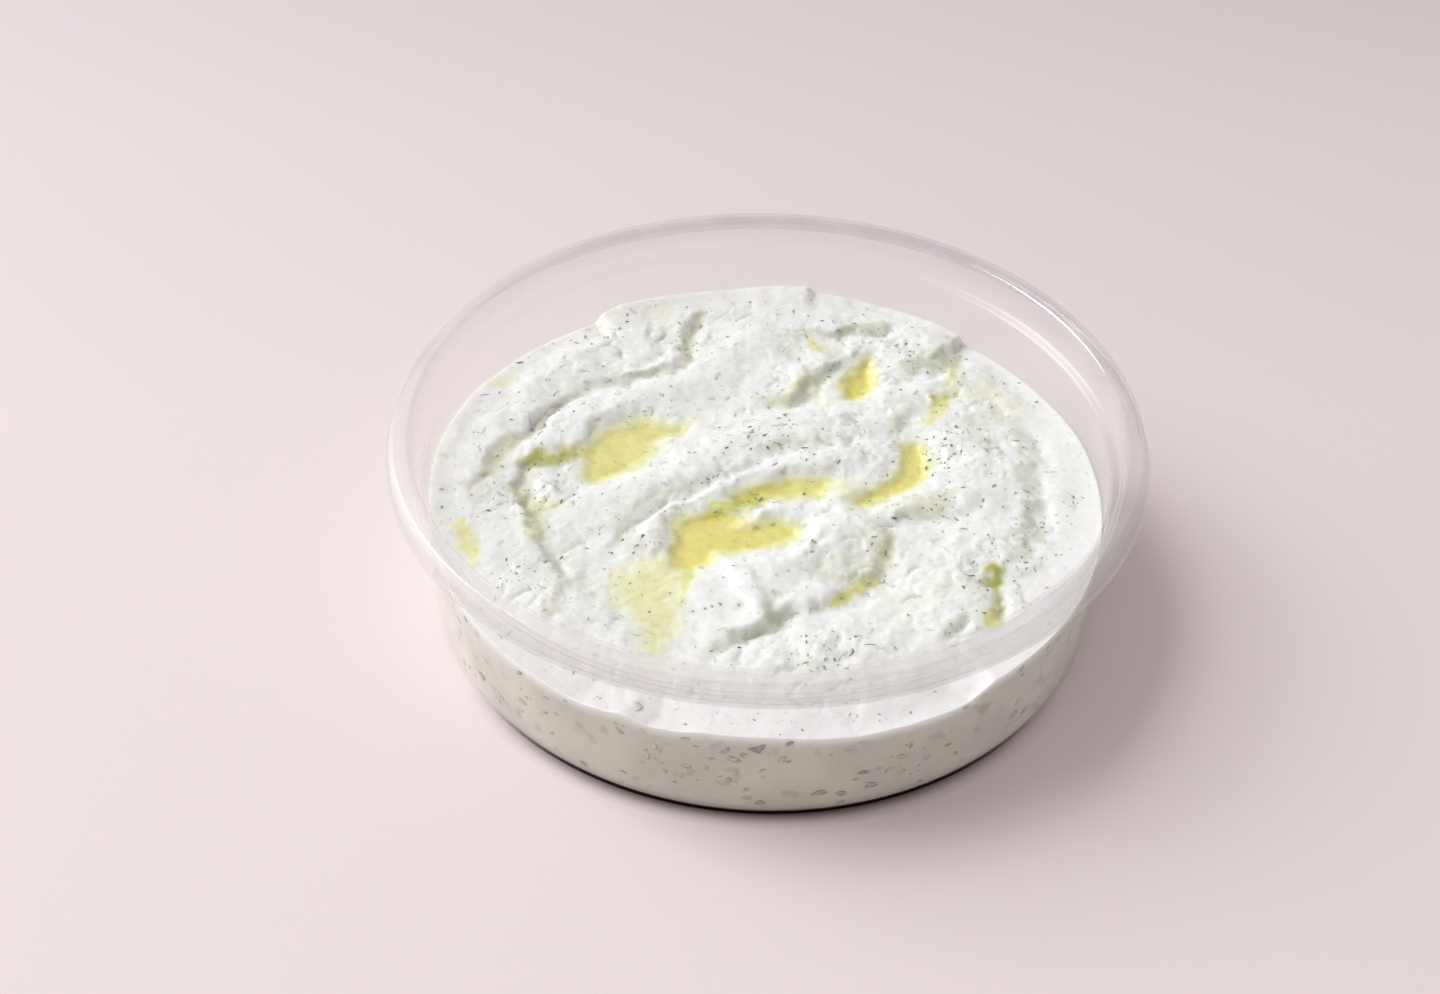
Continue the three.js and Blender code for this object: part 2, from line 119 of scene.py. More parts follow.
# Swells: height, width to the left and to the right of the path, and the path's points.
SWELLS = [
    (1.1, 6, 4, (-15, 45.5), (-26, 37), (-35.5, 28.5), (-41.5, 19.5), (-46.5, 8), (-46.5, -3.5),
     (-43.5, -15.5)),
    (1.3, 5, 5, (-3, 38), (-10, 27.5), (-21, 21.5), (-31, 14.5), (-37.5, 8)),
    (0.9, 9, 8, (-5, 45.5), (3, 41), (6, 31)),
    (0.8, 4, 4, (12.5, 44), (18.5, 43), (25.5, 42)),
    (0.9, 5, 5, (25.5, 37.5), (29.5, 38.5), (33.5, 38.5)),
    (1.3, 5, 5, (-35, -11), (-28, -6), (-18, 0), (-9, 6), (0, 11.5), (10, 14.5), (17.5, 17.5)),
    (1.3, 3.5, 3.5, (4, 5), (11, 5.5), (17, 6)),
    (0.7, 4, 4, (23.5, 22.5), (26.5, 25.5), (32.5, 28.5)),
    (0.8, 2.5, 2, (-21, -15.5), (-17, -11.5), (-12, -6.5), (-6, -3), (0, 2), (8, 3)),
    (1.7, 8, 7, (-6, -26), (0, -24)),
    (1.4, 5, 5, (2, -17), (8, -13), (15, -10)),
    (1.3, 3.5, 3, (13, -5), (21.5, -3.5), (30.5, -3)),
    (1.2, 7, 6, (30.5, 15.5), (33.5, 6.5), (34.5, -2), (35.5, -11.5)),
    (1.0, 7, 6, (22, -13.5), (28, -19.5), (27, -28)),
    (0.9, 6, 5, (-38, -19), (-30, -29), (-22, -34)),
    (0.8, 6, 6, (-4, -40.5), (9, -36), (22, -32)),
    (1.3, 2.4, 2.4, (-36, -2.5), (-34.5, -1)),
    (1.9, 2.4, 2, (-3.5, -8.5), (1.5, -7.5)),
    (0.3, 3, 3, (47.5, 12.5), (48, 1), (47, -9)),
]

# Folds: rise and width of the high side, drop and width of the low side, the width of the edge
# between them, and the points of the edge with its high side on the left.
FOLDS = [
    (0.6, 4.5, 0.9, 2.2, 2.0, (-46.5, -2), (-45, 3.5), (-40.5, 11), (-38, 15), (-34, 21),
     (-31, 23.5)),
    (0.7, 4.5, 0.7, 2.0, 1.4, (-29, 25), (-24, 26), (-19, 29), (-16, 30)),
    (0.9, 4.5, 0.8, 2.2, 2.6, (-15.5, 30), (-14.5, 32.5), (-14, 36), (-13, 41), (-11.5, 47)),
    (0.6, 4, 0.7, 2, 1.4, (-40.5, 4), (-36, 6.5), (-31, 9), (-28, 12.5), (-22, 15.5), (-15, 16)),
    (0.5, 4, 1.0, 2.5, 2.0, (-35, -14.5), (-37.5, -8.5), (-39.5, -2.5), (-40, 3.5)),
    (0.4, 4, 0.6, 1.8, 2.0, (-25, -17.5), (-22.5, -12.5), (-19.5, -8), (-13.5, -3.5), (-7.5, 1.5),
     (-2, 5)),
    (0.2, 1.6, 0.3, 1.6, 1.6, (-18.5, -12), (-13.5, -7.5), (-7.5, -2.5), (-1.5, 1.5), (6, 3)),
    (1.0, 5, 0.9, 2.6, 2.6, (0, 21), (4, 22), (7.5, 24.5), (10.5, 28), (13.5, 31.5), (18, 34)),
    (0.9, 3, 0.9, 1.8, 1.6, (12.5, 40.5), (16, 40), (20, 41), (23, 43)),
    (1.0, 5, 0.9, 2.6, 3.2, (25.5, 29.5), (28.5, 30.5), (31, 32.5), (33, 34.5), (34, 37)),
    (0.5, 3.5, 0.5, 2.2, 2.6, (21.5, 9), (22.5, 15), (26, 18.5), (29, 21.5), (32, 25.5)),
    (0.5, 4, 0.4, 2.5, 2.5, (0, 7.5), (5, 9), (11, 10)),
    (0.5, 5, 0.6, 2.8, 3.4, (40, -19.5), (42, -13.5), (42, -6.5), (43.5, 1.5), (44.5, 8),
     (42.5, 15), (38, 21)),
    (1.2, 7, 1.0, 3.2, 5.5, (9, -28), (12, -24.5), (16, -21), (18, -16.5), (18.5, -10.5)),
    (0.7, 3.5, 0.6, 2.5, 2.4, (18.5, -9), (23, -7), (29, -6.5), (34, -7)),
    (0.4, 4, 1.0, 1.8, 1.6, (33.5, -31), (34.5, -25), (34.5, -19.5)),
    (0.8, 4, 1.1, 1.8, 1.8, (-9, -37.5), (-5, -34.5), (-1, -32), (3, -30), (8, -28)),
    (0.35, 3.5, 0.8, 1.8, 1.6, (-30.5, -29), (-31.5, -22), (-33, -17.5), (-35.5, -13.5)),
    (0.7, 2.2, 0.5, 1.5, 1.4, (-17.5, -18.5), (-16.5, -14.5), (-14.5, -11.5)),
    (0.25, 2, 0.35, 1.4, 1.6, (5.5, -18.5), (8, -14.5), (11, -12.5)),
    (0.3, 2, 0.5, 1.6, 1.6, (24.5, -35), (27.5, -32.5), (29.5, -29.5)),
]

# Pools of oil: level, depth, and branches as paths with the half width at each point.
BED_REACH = 2.0
SHALLOW_SHARE = 0.9
STEEP_BANK = 3.8
GENTLE_BANK = 4.5
SHORE_SLOPE = 0.25
POOLS = {
    "oil_pool_centre": (17.2, 0.68, [
        [(-12, -18.5, 2.5), (-10.5, -14, 4.3), (-9.5, -11, 4.2), (-5, -7.5, 2.2)],
        [(-10, -13.5, 3.6), (-3, -12.5, 3.5), (3, -11, 2.4)],
    ]),
    "oil_pool_middle": (17.5, 0.62, [
        [(-4.2, -3.5, 1.4), (0.5, -2.1, 2.4), (6, -0.9, 2.5), (9, 0.3, 1.6)],
    ]),
    "oil_pool_left": (17.7, 0.46, [
        [(-27.6, 1.4, 2.3), (-25.5, 5.5, 4.1), (-23, 9, 5.4), (-21, 12, 4.2), (-14.5, 13.5, 1.4)],
    ]),
    "oil_pool_right": (17.6, 0.66, [
        [(15.5, -4.5, 1.6), (19.5, -1.8, 2.2), (23, 1.5, 2.6), (24.5, 5.5, 2.6), (25, 9.5, 2.0)],
    ]),
    "oil_pool_back": (18.0, 0.85, [
        [(15, 22.5, 1.8), (16, 25, 2.7), (17, 28.5, 2.4), (18.5, 32.5, 1.4)],
    ]),
}

# Thin oil that only tints the dip: strength, softness of its shore, and points with half widths.
STAINS = [
    (0.7, 3.0, (-14, -20, 3.5), (-18, -24, 5), (-17, -29, 4), (-16, -34, 2.6), (-17, -38, 1.6)),
    (0.55, 1.2, (-22, -20, 1), (-23, -24, 1.2), (-21, -29, 0.8)),
    (0.9, 1.2, (-12, -20, 2.0), (-12.5, -24, 1.4), (-13.2, -27.5, 0.8)),
    (0.9, 1.2, (-38.5, 5, 1.2), (-34, 6, 1.6), (-30, 7.5, 2.3)),
    (0.5, 1.5, (-13, 14, 1.4), (-11.5, 16, 1)),
    (1.0, 1.2, (-1, -3.6, 1.6), (-5, -5.2, 1.6), (-8, -7, 1.6)),
    (0.45, 2.0, (12, -0.5, 2.5), (15, -3.5, 2.0)),
    (0.95, 1.0, (10.5, -27, 0.9), (13.5, -24.5, 1.4), (17, -22, 0.9)),
    (0.45, 1.5, (18, -18, 1.2), (19, -13, 1)),
    (1.0, 0.9, (34.5, -20, 1.6), (34.6, -24, 0.5), (34.5, -27, 0.5), (33.5, -31, 1.4)),
    (0.8, 1.2, (-48, -10.5, 1.2), (-47, -14, 1.7), (-45.2, -19, 1)),
    (0.5, 1.2, (-45.5, 25.5, 1.4), (-43.5, 27, 1)),
    (0.85, 1.0, (29.5, 21.5, 1.8), (29, 18, 1.3), (26.5, 15, 0.9)),
    (0.55, 1.5, (32.5, 24, 1.6), (33, 28, 1.6), (33.5, 33, 1.2)),
    (0.35, 3.0, (38, 25, 3.2), (42, 21, 2.6)),
    (0.85, 1.2, (9, 36.5, 1.5), (9.5, 35.3, 1.2)),
    (0.45, 1.0, (-40.5, 10, 0.9), (-44, 4, 0.8), (-45.5, 1, 0.8)),
    (0.45, 1.2, (-39.5, -2, 1), (-37.5, -8, 1.2), (-36, -14, 1)),
    (0.45, 1.5, (-37, -6.5, 1.6), (-33, -6, 1.2)),
    (0.3, 1.5, (-13.5, 33, 1), (-12.5, 38, 1), (-11, 46, 1)),
    (0.3, 1.5, (2, 21.5, 1.5), (8, 25, 1.8), (11, 21, 1.2)),
    (0.35, 1.0, (43, -20.5, 0.6), (43.5, -22, 0.6)),
    (0.3, 2.0, (27, -5, 1.6), (13, -6.5, 1.6)),
    (0.2, 3.0, (20, -28, 2.5), (28, -23, 1.5)),
    (0.25, 2.0, (-17, 42, 2), (-18, 46, 1.6)),
]

# Painted shade in creases, olive-grey: strength, and points with half widths.
CREASE_SHADES = [
    (0.7, (0.9, 21.4, 1.6), (4.9, 23.4, 1.6), (8.9, 26.9, 1.6), (11.9, 30.4, 1.5)),
    (0.3, (8.9, 31.4, 2.5), (12.9, 33.4, 2.5), (16.8, 35.3, 2)),
    (0.8, (13.4, 40.3, 1.2), (16.8, 41.3, 1.3), (21.3, 43.3, 1.2)),
    (0.6, (2.9, 38.8, 1), (6.9, 39.3, 1), (9.9, 41.3, 1)),
    (0.75, (26.3, 31.4, 2.2), (29.8, 33.6, 2.0), (31.7, 35.2, 1.4)),
    (0.7, (33.2, 29.4, 0.9), (34.2, 34.3, 0.9), (33.7, 39.3, 0.8)),
    (0.5, (21.8, 11.5, 1.6), (22.3, 16.5, 1.6), (23.8, 19.4, 1.5)),
    (0.35, (34.7, 12.5, 2.5), (37.7, 17.5, 2.5), (41.7, 16.5, 2)),
    (0.35, (41.7, 0.6, 2.2), (43.2, 6.5, 2.2), (42.7, 12.5, 2)),
    (0.4, (0, 7.5, 1.5), (4.9, 8.5, 1.5), (9.9, 11, 1.5)),
    (0.6, (3.9, 32.4, 0.8), (3.9, 35.3, 0.8)),
    (0.5, (8.9, 54.2, 0.8), (9.4, 51.2, 0.8)),
    (0.5, (15.4, 52.2, 0.8), (15.9, 49.3, 0.7)),
    (0.65, (18.3, -11.4, 1.4), (18.8, -15.3, 1.8), (16.8, -19.3, 1.8), (12.9, -22.3, 1.5)),
    (0.45, (14.9, -13.3, 2.5), (13.9, -18.3, 3), (9.9, -21.3, 2.5)),
    (0.5, (39.7, -16.3, 1.8), (41.2, -10.4, 2), (41.7, -5.4, 1.6)),
    (0.35, (32.7, -22.3, 2), (31.7, -29.2, 2)),
    (0.35, (25.3, -5.4, 2.6), (28.8, -4.4, 2.6)),
    (0.5, (27.8, -32.2, 1.2), (29.3, -29.7, 1)),
    (0.6, (4.9, -40.2, 1), (6.9, -39.2, 1)),
    (0.6, (0, -30.2, 1.5), (2.9, -30.2, 1.4)),
    (0.4, (6.9, -15.8, 0.8), (8.9, -12.3, 0.8)),
    (0.5, (-13.5, 32.4, 1.3), (-13, 36.3, 1.2), (-12, 41.3, 1.1), (-11.5, 45.3, 1)),
    (0.65, (-26.9, 25.4, 1.3), (-23.9, 26.4, 1.3), (-20.4, 27.9, 1.1), (-14.9, 30.4, 1)),
    (0.6, (-45.3, 0.6, 0.9), (-43.8, 4.5, 0.9), (-40.8, 8.5, 0.9), (-37.8, 12, 0.9)),
    (1.0, (-39.3, 3.5, 1.1), (-34.8, 5, 1.5), (-30.8, 6.5, 1.4)),
    (0.25, (-24.9, 44.3, 4), (-20.9, 48.3, 3.5)),
    (0.5, (-29.4, 41.3, 1), (-27.9, 46.3, 1)),
    (0.4, (-30.8, 24.4, 1.2), (-33.8, 21.4, 1.2)),
    (0.65, (-37.8, 1.6, 1.8), (-38.8, -2.4, 2.2), (-36.8, -7.4, 2.0), (-34.8, -13.3, 1.5)),
    (0.35, (-38.8, -9.4, 1.2), (-39.8, -15.3, 1)),
    (0.5, (-31.8, -22.3, 1.8), (-31.8, -29.2, 1.8)),
    (0.35, (-33, -17, 2.2), (-30, -21, 2.6), (-27.5, -26, 2.4)),
    (0.35, (-44, 1, 1.6), (-45.5, -5, 1.4)),
    (1.0, (33.8, -22.3, 1.4), (34.8, -20.5, 1.6)),
    (0.4, (15, 23, 1.2), (16.5, 27, 1.5), (17.8, 30.5, 1.2)),
    (0.4, (-28.4, -21.3, 1), (-27.9, -24.3, 1)),
    (0.45, (-22.9, -9.4, 1.6), (-21.9, -14.3, 1.6), (-18.5, -15.8, 1.4)),
    (0.4, (-20.4, -6.4, 1.8), (-16.4, -3.4, 1.8), (-12, -1, 1.2)),
    (0.35, (-16.9, -15.3, 1.2), (-17.4, -12.3, 1)),
    (0.6, (-8, -37.7, 1), (-4, -34.7, 1.2), (-1, -32.7, 1.2)),
    (1.0, (-6, -6.2, 1.2), (-3.5, -5, 1.6), (-1, -4, 1.6)),
    (0.85, (-4.6, -3.6, 1.0), (-1.5, -3.0, 1.2), (0.8, -1.2, 1.5)),
    (0.6, (-26.5, 3.2, 1.2), (-24, 4.4, 1.2)),
]

# Places where the dip was smoothed and shows little grain: x, y, radius.
CALM = [(-4, -26, 7), (2, -22, 5), (-27, -7, 5), (-20, -2, 4), (-19, 20, 7), (-8, 24, 6),
        (-28, 14, 4), (48, 4, 5), (47, -8, 5), (46, 16, 5), (3, 15, 5), (-40, -14, 5), (36, -3, 4)]

# Places where it was left crumbly: x, y, radius.
ROUGH = [(28, -22, 12), (36, 6, 9), (9, -14, 6), (24, 40, 9), (-22, 36, 8), (-38, -6, 8),
         (-31, -24, 6), (6, -38, 9), (14, 8, 8), (30, 22, 6)]

# Where the chopped dill lies thick: x, y, radius.
DILL_HEAPS = [(-35, 6, 3), (-18.5, 29, 2.5), (-1.5, -3.5, 3.5), (12.5, 29.5, 3), (42, -8, 7),
              (8, -38, 5), (27.5, -5, 5), (19.5, -8, 3), (45, -11, 4), (30, 8, 8), (36, -17, 6),
              (-40, -4, 5), (-20, -14, 4), (18, -16, 4), (34, -24, 5), (-28, 40, 5),
              (-12, 36, 4), (24, 34, 5), (0, 12, 6), (-38, -22, 5)]

# The cucumber shreds that lie open on top: path, width, and shade from brown peel to white flesh.
SHREDS = [
    ([(-35, 18.8), (-36.8, 15.5), (-37.8, 12)], 2.2, 0.0),
    ([(-39.2, 16.5), (-39, 13.5), (-38.3, 10.8)], 0.7, 1.0),
    ([(12, 17), (14, 15.8), (15.5, 14)], 0.9, 0.9),
    ([(13.6, 17.6), (15, 16), (16, 13.6)], 0.7, 0.85),
    ([(12.5, 40), (13.5, 42), (14.5, 44)], 1.0, 0.95),
    ([(-36.5, -3.5), (-35, -1.5), (-33, -0.5)], 0.8, 1.0),
    ([(20, -27), (21.5, -25.5), (23.5, -26)], 0.8, 0.8),
    ([(41, -13), (42.5, -10), (42, -7)], 0.7, 0.8),
]

# Numbers of small things scattered with a seed.
DILL_SPECKS = 1700
DILL_THREADS = 60
SIDE_FLECKS = 400
SHORT_SHREDS = 45



# ---- nodes

class Nodes:
    """The shader nodes of a material or of the world."""

    def __init__(self, owner):
        owner.use_nodes = True
        self.owner = owner
        self.nodes, self.links = owner.node_tree.nodes, owner.node_tree.links

    def fill(self, node, inputs):
        """Gives a node's inputs their values: a socket, a colour or a number each."""
        for name, value in inputs.items():
            socket = node.inputs[name]
            if isinstance(value, bpy.types.NodeSocket):
                self.links.new(value, socket)
            else:
                socket.default_value = (*value, 1) if socket.type == "RGBA" else value

    def add(self, kind, inputs):
        node = self.nodes.new("ShaderNode" + kind)
        self.fill(node, inputs)
        return node

    def noise(self, scale, detail, roughness=0.5):
        """Noise over the object's own coordinates."""
        place = self.add("TexCoord", {}).outputs["Object"]
        inputs = {"Vector": place, "Scale": scale, "Detail": detail, "Roughness": roughness}
        return self.add("TexNoise", inputs).outputs["Fac"]

    def shade(self, name):
        """A number that the mesh carries for each point."""
        reader = self.add("Attribute", {})
        reader.attribute_name = name
        return reader.outputs["Fac"]

    def spread(self, source, low, high, to_low=0.0, to_high=1.0):
        """Turns low to high into 0 to 1, or into the two given values."""
        inputs = {"Value": source, "From Min": low, "From Max": high, "To Min": to_low,
                  "To Max": to_high}
        return self.add("MapRange", inputs).outputs["Result"]

    def ramp(self, source, *stops):
        """A colour ramp over a value, from stops of position and colour or grey."""
        node = self.add("ValToRGB", {"Fac": source})
        elements = node.color_ramp.elements
        while len(elements) < len(stops):
            elements.new(0.5)
        for element, (position, colour) in zip(elements, stops):
            element.position = position
            element.color = (*colour, 1) if isinstance(colour, tuple) else (*(colour,) * 3, 1)
        return node.outputs["Color"]

    def blend(self, factor, low, high, mode="MIX"):
        """Mixes two colours by a value."""
        node = self.nodes.new("ShaderNodeMix")
        node.data_type = "RGBA"
        node.blend_type = mode
        self.fill(node, {"Factor": factor, 6: low, 7: high})
        return node.outputs[2]

    def multiply(self, low, high):
        return self.blend(1.0, low, high, "MULTIPLY")

    def bump(self, source, strength, depth):
        """Fine relief, its depth in millimetres."""
        inputs = {"Height": source, "Strength": strength, "Distance": depth * MM}
        return self.add("Bump", inputs).outputs["Normal"]

    def clear(self, colour):
        return self.add("BsdfTransparent", {"Color": colour}).outputs["BSDF"]

    def mix_shaders(self, factor, first, second):
        return self.add("MixShader", {"Fac": factor, 1: first, 2: second}).outputs["Shader"]


def new_material(name):
    """A new material's nodes and its main shader."""
    tree = Nodes(bpy.data.materials.new(name))
    return tree, tree.nodes["Principled BSDF"]


# ---- camera, light and floor

def add_object(name, data):
    thing = bpy.data.objects.new(name, data)
    scene.collection.objects.link(thing)
    return thing


def add_camera():
    """Looks down at the pot at about 41 degrees from a little left of its middle."""
    data = bpy.data.cameras.new("camera")
    data.lens = CAMERA_LENS
    data.sensor_width = 36.0
    camera = add_object("camera", data)
    right, up = Vector(CAMERA_RIGHT), Vector(CAMERA_UP)
    turn = Matrix((right, up, right.cross(up))).transposed().to_4x4()
    camera.matrix_world = Matrix.Translation(Vector(CAMERA_PLACE) * MM) @ turn
    scene.camera = camera


def add_lights():
    """A world that is lighter low down, and a soft square key light from the left."""
    tree = Nodes(bpy.data.worlds.new("studio"))
    place = tree.add("TexCoord", {}).outputs["Generated"]
    height = tree.add("SeparateXYZ", {"Vector": place}).outputs["Z"]
    sky = tree.ramp(height, (0.0, (0.66, 0.625, 0.62)), (0.75, (0.44, 0.425, 0.415)))
    tree.fill(tree.nodes["Background"], {"Color": sky, "Strength": 1.0})
    scene.world = tree.owner
    data = bpy.data.lights.new("key", "AREA")
    data.shape = "SQUARE"
    data.size = KEY_SIZE
    data.energy = KEY_WATTS
    data.color = KEY_COLOUR
    key = add_object("key", data)
    key.location = KEY_PLACE
    key.rotation_euler = (-Vector(KEY_PLACE)).to_track_quat("-Z", "Y").to_euler()
    scene.view_settings.view_transform = "Standard"


def add_floor():
    """A pale floor with painted light falloff, darker to the back, and a painted contact shadow
    along the front of the foot.
    """
    half = FLOOR_HALF
    mesh = bpy.data.meshes.new("floor")
    corners = [(-half, -half, 0), (half, -half, 0), (half, half, 0), (-half, half, 0)]
    mesh.from_pydata(corners, [], [(0, 1, 2, 3)])
    tree, shader = new_material("floor_paper")
    place = tree.add("TexCoord", {}).outputs["Object"]
    to_back = tree.add("SeparateXYZ", {"Vector": place}).outputs["Y"]
    # Painted light falloff: the floor's colour grows darker towards the back.
    tone = tree.ramp(tree.spread(to_back, -0.1, 0.3),
                     (0.0, (0.835, 0.752, 0.757)), (0.35, (0.80, 0.72, 0.725)),
                     (0.60, (0.737, 0.665, 0.670)), (1.0, (0.60, 0.54, 0.545)))
    # Painted contact shadow: the floor darkens near the foot, only in front of the pot.
    reach = tree.add("VectorMath", {0: place})
    reach.operation = "LENGTH"
    by_foot = tree.spread(reach.outputs["Value"], *(edge * MM for edge in CONTACT_SHADOW_REACH))
    contact = tree.ramp(by_foot, (0.0, (0.24, 0.215, 0.205)), (0.25, (0.46, 0.43, 0.415)),
                        (0.6, (0.83, 0.82, 0.815)), (1.0, 1.0))
    to_front = tree.spread(to_back, -0.028, -0.050)
    painted_contact_shadow = tree.blend(to_front, (1.0, 1.0, 1.0), contact)
    tree.fill(shader, {"Base Color": tree.multiply(tone, painted_contact_shadow), "Roughness": 0.8,
                       "Specular IOR Level": 0.2})
    mesh.materials.append(tree.owner)
    floor = add_object("floor", mesh)


# ---- sculpt

def mix(low, high, share):
    return low + (high - low) * share


def smoothstep(value, low, high):
    t = np.clip((value - low) / (high - low), 0, 1)
    return t * t * (3 - 2 * t)


def polar(radius, angle):
    return radius * np.cos(angle), radius * np.sin(angle)


def columns(*parts):
    """Points, directions or faces from their parts, each an array or one number."""
    return np.stack(np.broadcast_arrays(*parts), -1)


def unit(vectors):
    return vectors / np.linalg.norm(vectors, axis=1)[:, None]


def smooth_path(path):
    """A Catmull-Rom curve through the path's points, which may carry a half width."""
    p = np.array(path, float)
    if p.shape[1] == 2:
        p = np.hstack([p, np.zeros((len(p), 1))])
    q = np.vstack([2 * p[0] - p[1], p, 2 * p[-1] - p[-2]])
    t = (np.arange(CURVE_STEPS) / CURVE_STEPS)[:, None]
    pieces = []
    for a, b, c, d in zip(q[:-3], q[1:-2], q[2:-1], q[3:]):
        bend = (2 * a - 5 * b + 4 * c - d) * t ** 2 + (3 * b - a - 3 * c + d) * t ** 3
        pieces.append(0.5 * (2 * b + (c - a) * t + bend))
    return np.vstack(pieces + [p[-1:]])


def along_path(path, x, y):
    """Distance to the path, side (1 left, -1 right), share of its length and how far inside."""
    points = smooth_path(path)
    distance, inside = np.full(x.shape, FAR), np.full(x.shape, -FAR)
    side, share = np.zeros(x.shape), np.zeros(x.shape)
    steps = len(points) - 1
    for i, (a, b) in enumerate(zip(points[:-1], points[1:])):
        dx, dy = b[:2] - a[:2]
        length = math.hypot(dx, dy)
        t = np.clip(((x - a[0]) * dx + (y - a[1]) * dy) / length ** 2, 0, 1)
        off_x = x - a[0] - t * dx
        off_y = y - a[1] - t * dy
        here = np.hypot(off_x, off_y)
        nearer = here < distance
        turn = (dx * off_y - dy * off_x) / (length * np.maximum(here, 1e-6))
        side = np.where(nearer, turn, side)
        share = np.where(nearer, (i + t) / steps, share)
        distance = np.where(nearer, here, distance)
        inside = np.maximum(inside, mix(a[2], b[2], t) - here)
    return distance, side, share, inside


def swell_height(swell, x, y):
    height, left, right, *path = swell
    distance, side, share, _ = along_path(path, x, y)
    width = (left + right) / 2 + (left - right) / 2 * side
    taper = 0.6 + 0.4 * np.sin(math.pi * share) ** 2
    return height * taper * np.exp(-((distance / width) ** 2))


def fold_height(fold, x, y):
    """A lip of dip: it stands up on the left of its path and dips down on the right."""
    rise, high_width, drop, low_width, edge, *path = fold
    distance, side, share, _ = along_path(path, x, y)
    taper = 0.35 + 0.65 * np.sin(math.pi * np.clip(share, 0, 1)) ** 0.8
    high = rise * np.exp(-((distance / high_width) ** 2))
    low = -drop * np.exp(-((distance / low_width) ** 2))
    return taper * mix(low, high, smoothstep(side * distance, -0.7 * edge, 0.7 * edge))


def pool_reach(branches, x, y):
    """How far inside the pool's shore, how far to its deep side, over all branches."""
    inside = np.full(x.shape, -FAR)
    leaning = np.zeros(x.shape)
    for branch in branches:
        distance, side, _, here = along_path(branch, x, y)
        lean = 0.5 + 0.5 * side * np.minimum(distance / np.maximum(here + distance, 0.1), 1)
        leaning = np.where(here > inside, lean, leaning)
        inside = np.maximum(inside, here)
    return inside, leaning


def gradient_noise(x, y, scale, seed):
    """Smooth noise between about -0.7 and 0.7 with features of the given scale."""
    count, offset = 4096, 500.0
    angles = np.random.default_rng(seed).uniform(0, math.tau, count)
    u, v = x / scale + offset, y / scale + offset
    iu, iv = np.floor(u).astype(int), np.floor(v).astype(int)
    fu, fv = u - iu, v - iv
    su, sv = fu ** 3 * (fu * (fu * 6 - 15) + 10), fv ** 3 * (fv * (fv * 6 - 15) + 10)
    total = 0
    for cu in (0, 1):
        for cv in (0, 1):
            angle = angles[((iu + cu) * 1619 + (iv + cv) * 31337) % count]
            dot = np.cos(angle) * (fu - cu) + np.sin(angle) * (fv - cv)
            weight = (su if cu else 1 - su) * (sv if cv else 1 - sv)
            total = total + weight * dot
    return total


def waves(x, y, parts):
    """A sum of smooth noise, from the amount, scale and seed of each part."""
    return sum(amount * gradient_noise(x, y, scale, seed) for amount, scale, seed in parts)


def wander(x, y):
    """The plan as the forms see it: their edges run unevenly."""
    return x + waves(x, y, WANDER_X), y + waves(x, y, WANDER_Y)


def wall_level(x, y):
    """The dip's level along the wall in the direction of a point."""
    angles, levels = zip(*WALL_LEVELS)
    return np.interp(np.degrees(np.arctan2(y, x)), angles, levels, period=360)


def surface_form(x, y):
    """The dip's main form with its pool hollows, and how far inside a pool's shore."""
    x, y = wander(x, y)
    z = mix(FRONT_LEVEL, BACK_LEVEL, (y + BASE_RADIUS) / (2 * BASE_RADIUS))
    for swell in SWELLS:
        z = z + swell_height(swell, x, y)
    broken = mix(0.35, 1.15, smoothstep(gradient_noise(x, y, 5.0, 41), -0.35, 0.25))
    for fold in FOLDS:
        z = z + broken * fold_height(fold, x, y)
    edge = WALL_TOP_RADIUS - 1.0
    z = mix(z, wall_level(x, y), smoothstep(np.hypot(x, y), edge - WALL_REACH, edge))
    shore = np.full(x.shape, -FAR)
    for level, depth, branches in POOLS.values():
        inside, leaning = pool_reach(branches, x, y)
        fall = smoothstep(inside, -0.3, BED_REACH)
        bed = level - depth * fall * mix(SHALLOW_SHARE, 1, leaning)
        bank = mix(GENTLE_BANK, STEEP_BANK, leaning)
        outside = mix(level - SHORE_SLOPE * inside, z, smoothstep(-inside, 0, bank))
        z = np.where(inside > 0, bed, outside)
        shore = np.maximum(shore, inside)
    return z, shore


def near_any(x, y, places):
    """1 at the middle of a place, falling off over its radius."""
    near = np.zeros(x.shape)
    for cx, cy, reach in places:
        near = np.maximum(near, np.exp(-(((x - cx) ** 2 + (y - cy) ** 2) / reach ** 2)))
    return near


def crevices(x, y, scale, seed):
    """1 along narrow cracks between lumps of the given scale, 0 on the lumps."""
    return 1 - smoothstep(np.abs(gradient_noise(x, y, scale, seed)), 0, CRACK_WIDTH)


def surface_grain(x, y):
    """The curdled fine relief of strained yoghurt with grated cucumber in it."""
    warp_x = x + 1.3 * gradient_noise(x, y, 3.5, 1)
    warp_y = y + 1.3 * gradient_noise(x, y, 3.5, 2)
    along, across = 0.86 * warp_x + 0.5 * warp_y, -0.5 * warp_x + 0.86 * warp_y
    patches = smoothstep(gradient_noise(x, y, 6.0, 8), 0.0, 0.35)
    others = smoothstep(gradient_noise(x, y, 4.0, 9), 0.0, 0.35)
    cracks = -0.42 * patches * crevices(along / 1.25, across, 3.6, 3)
    cracks -= 0.22 * others * crevices(along / 1.1, across, 1.9, 4)
    lumps = waves(warp_x, warp_y, LUMPS)
    crumbs = 0.24 * smoothstep(gradient_noise(x, y, 1.5, 7), 0.25, 0.5)
    crumbs += 0.10 * gradient_noise(x, y, 0.9, 15)
    rough = 0.35 * smoothstep(gradient_noise(x, y, 11.0, 6), -0.3, 0.3)
    rough = np.maximum(rough, near_any(x, y, ROUGH))
    by_wall = smoothstep(np.hypot(x, y), 45, 51)
    strength = mix(0.45, 1.0, rough) * (1 - 0.75 * near_any(x, y, CALM)) * (1 - 0.6 * by_wall)
    return strength * (cracks + lumps + crumbs)


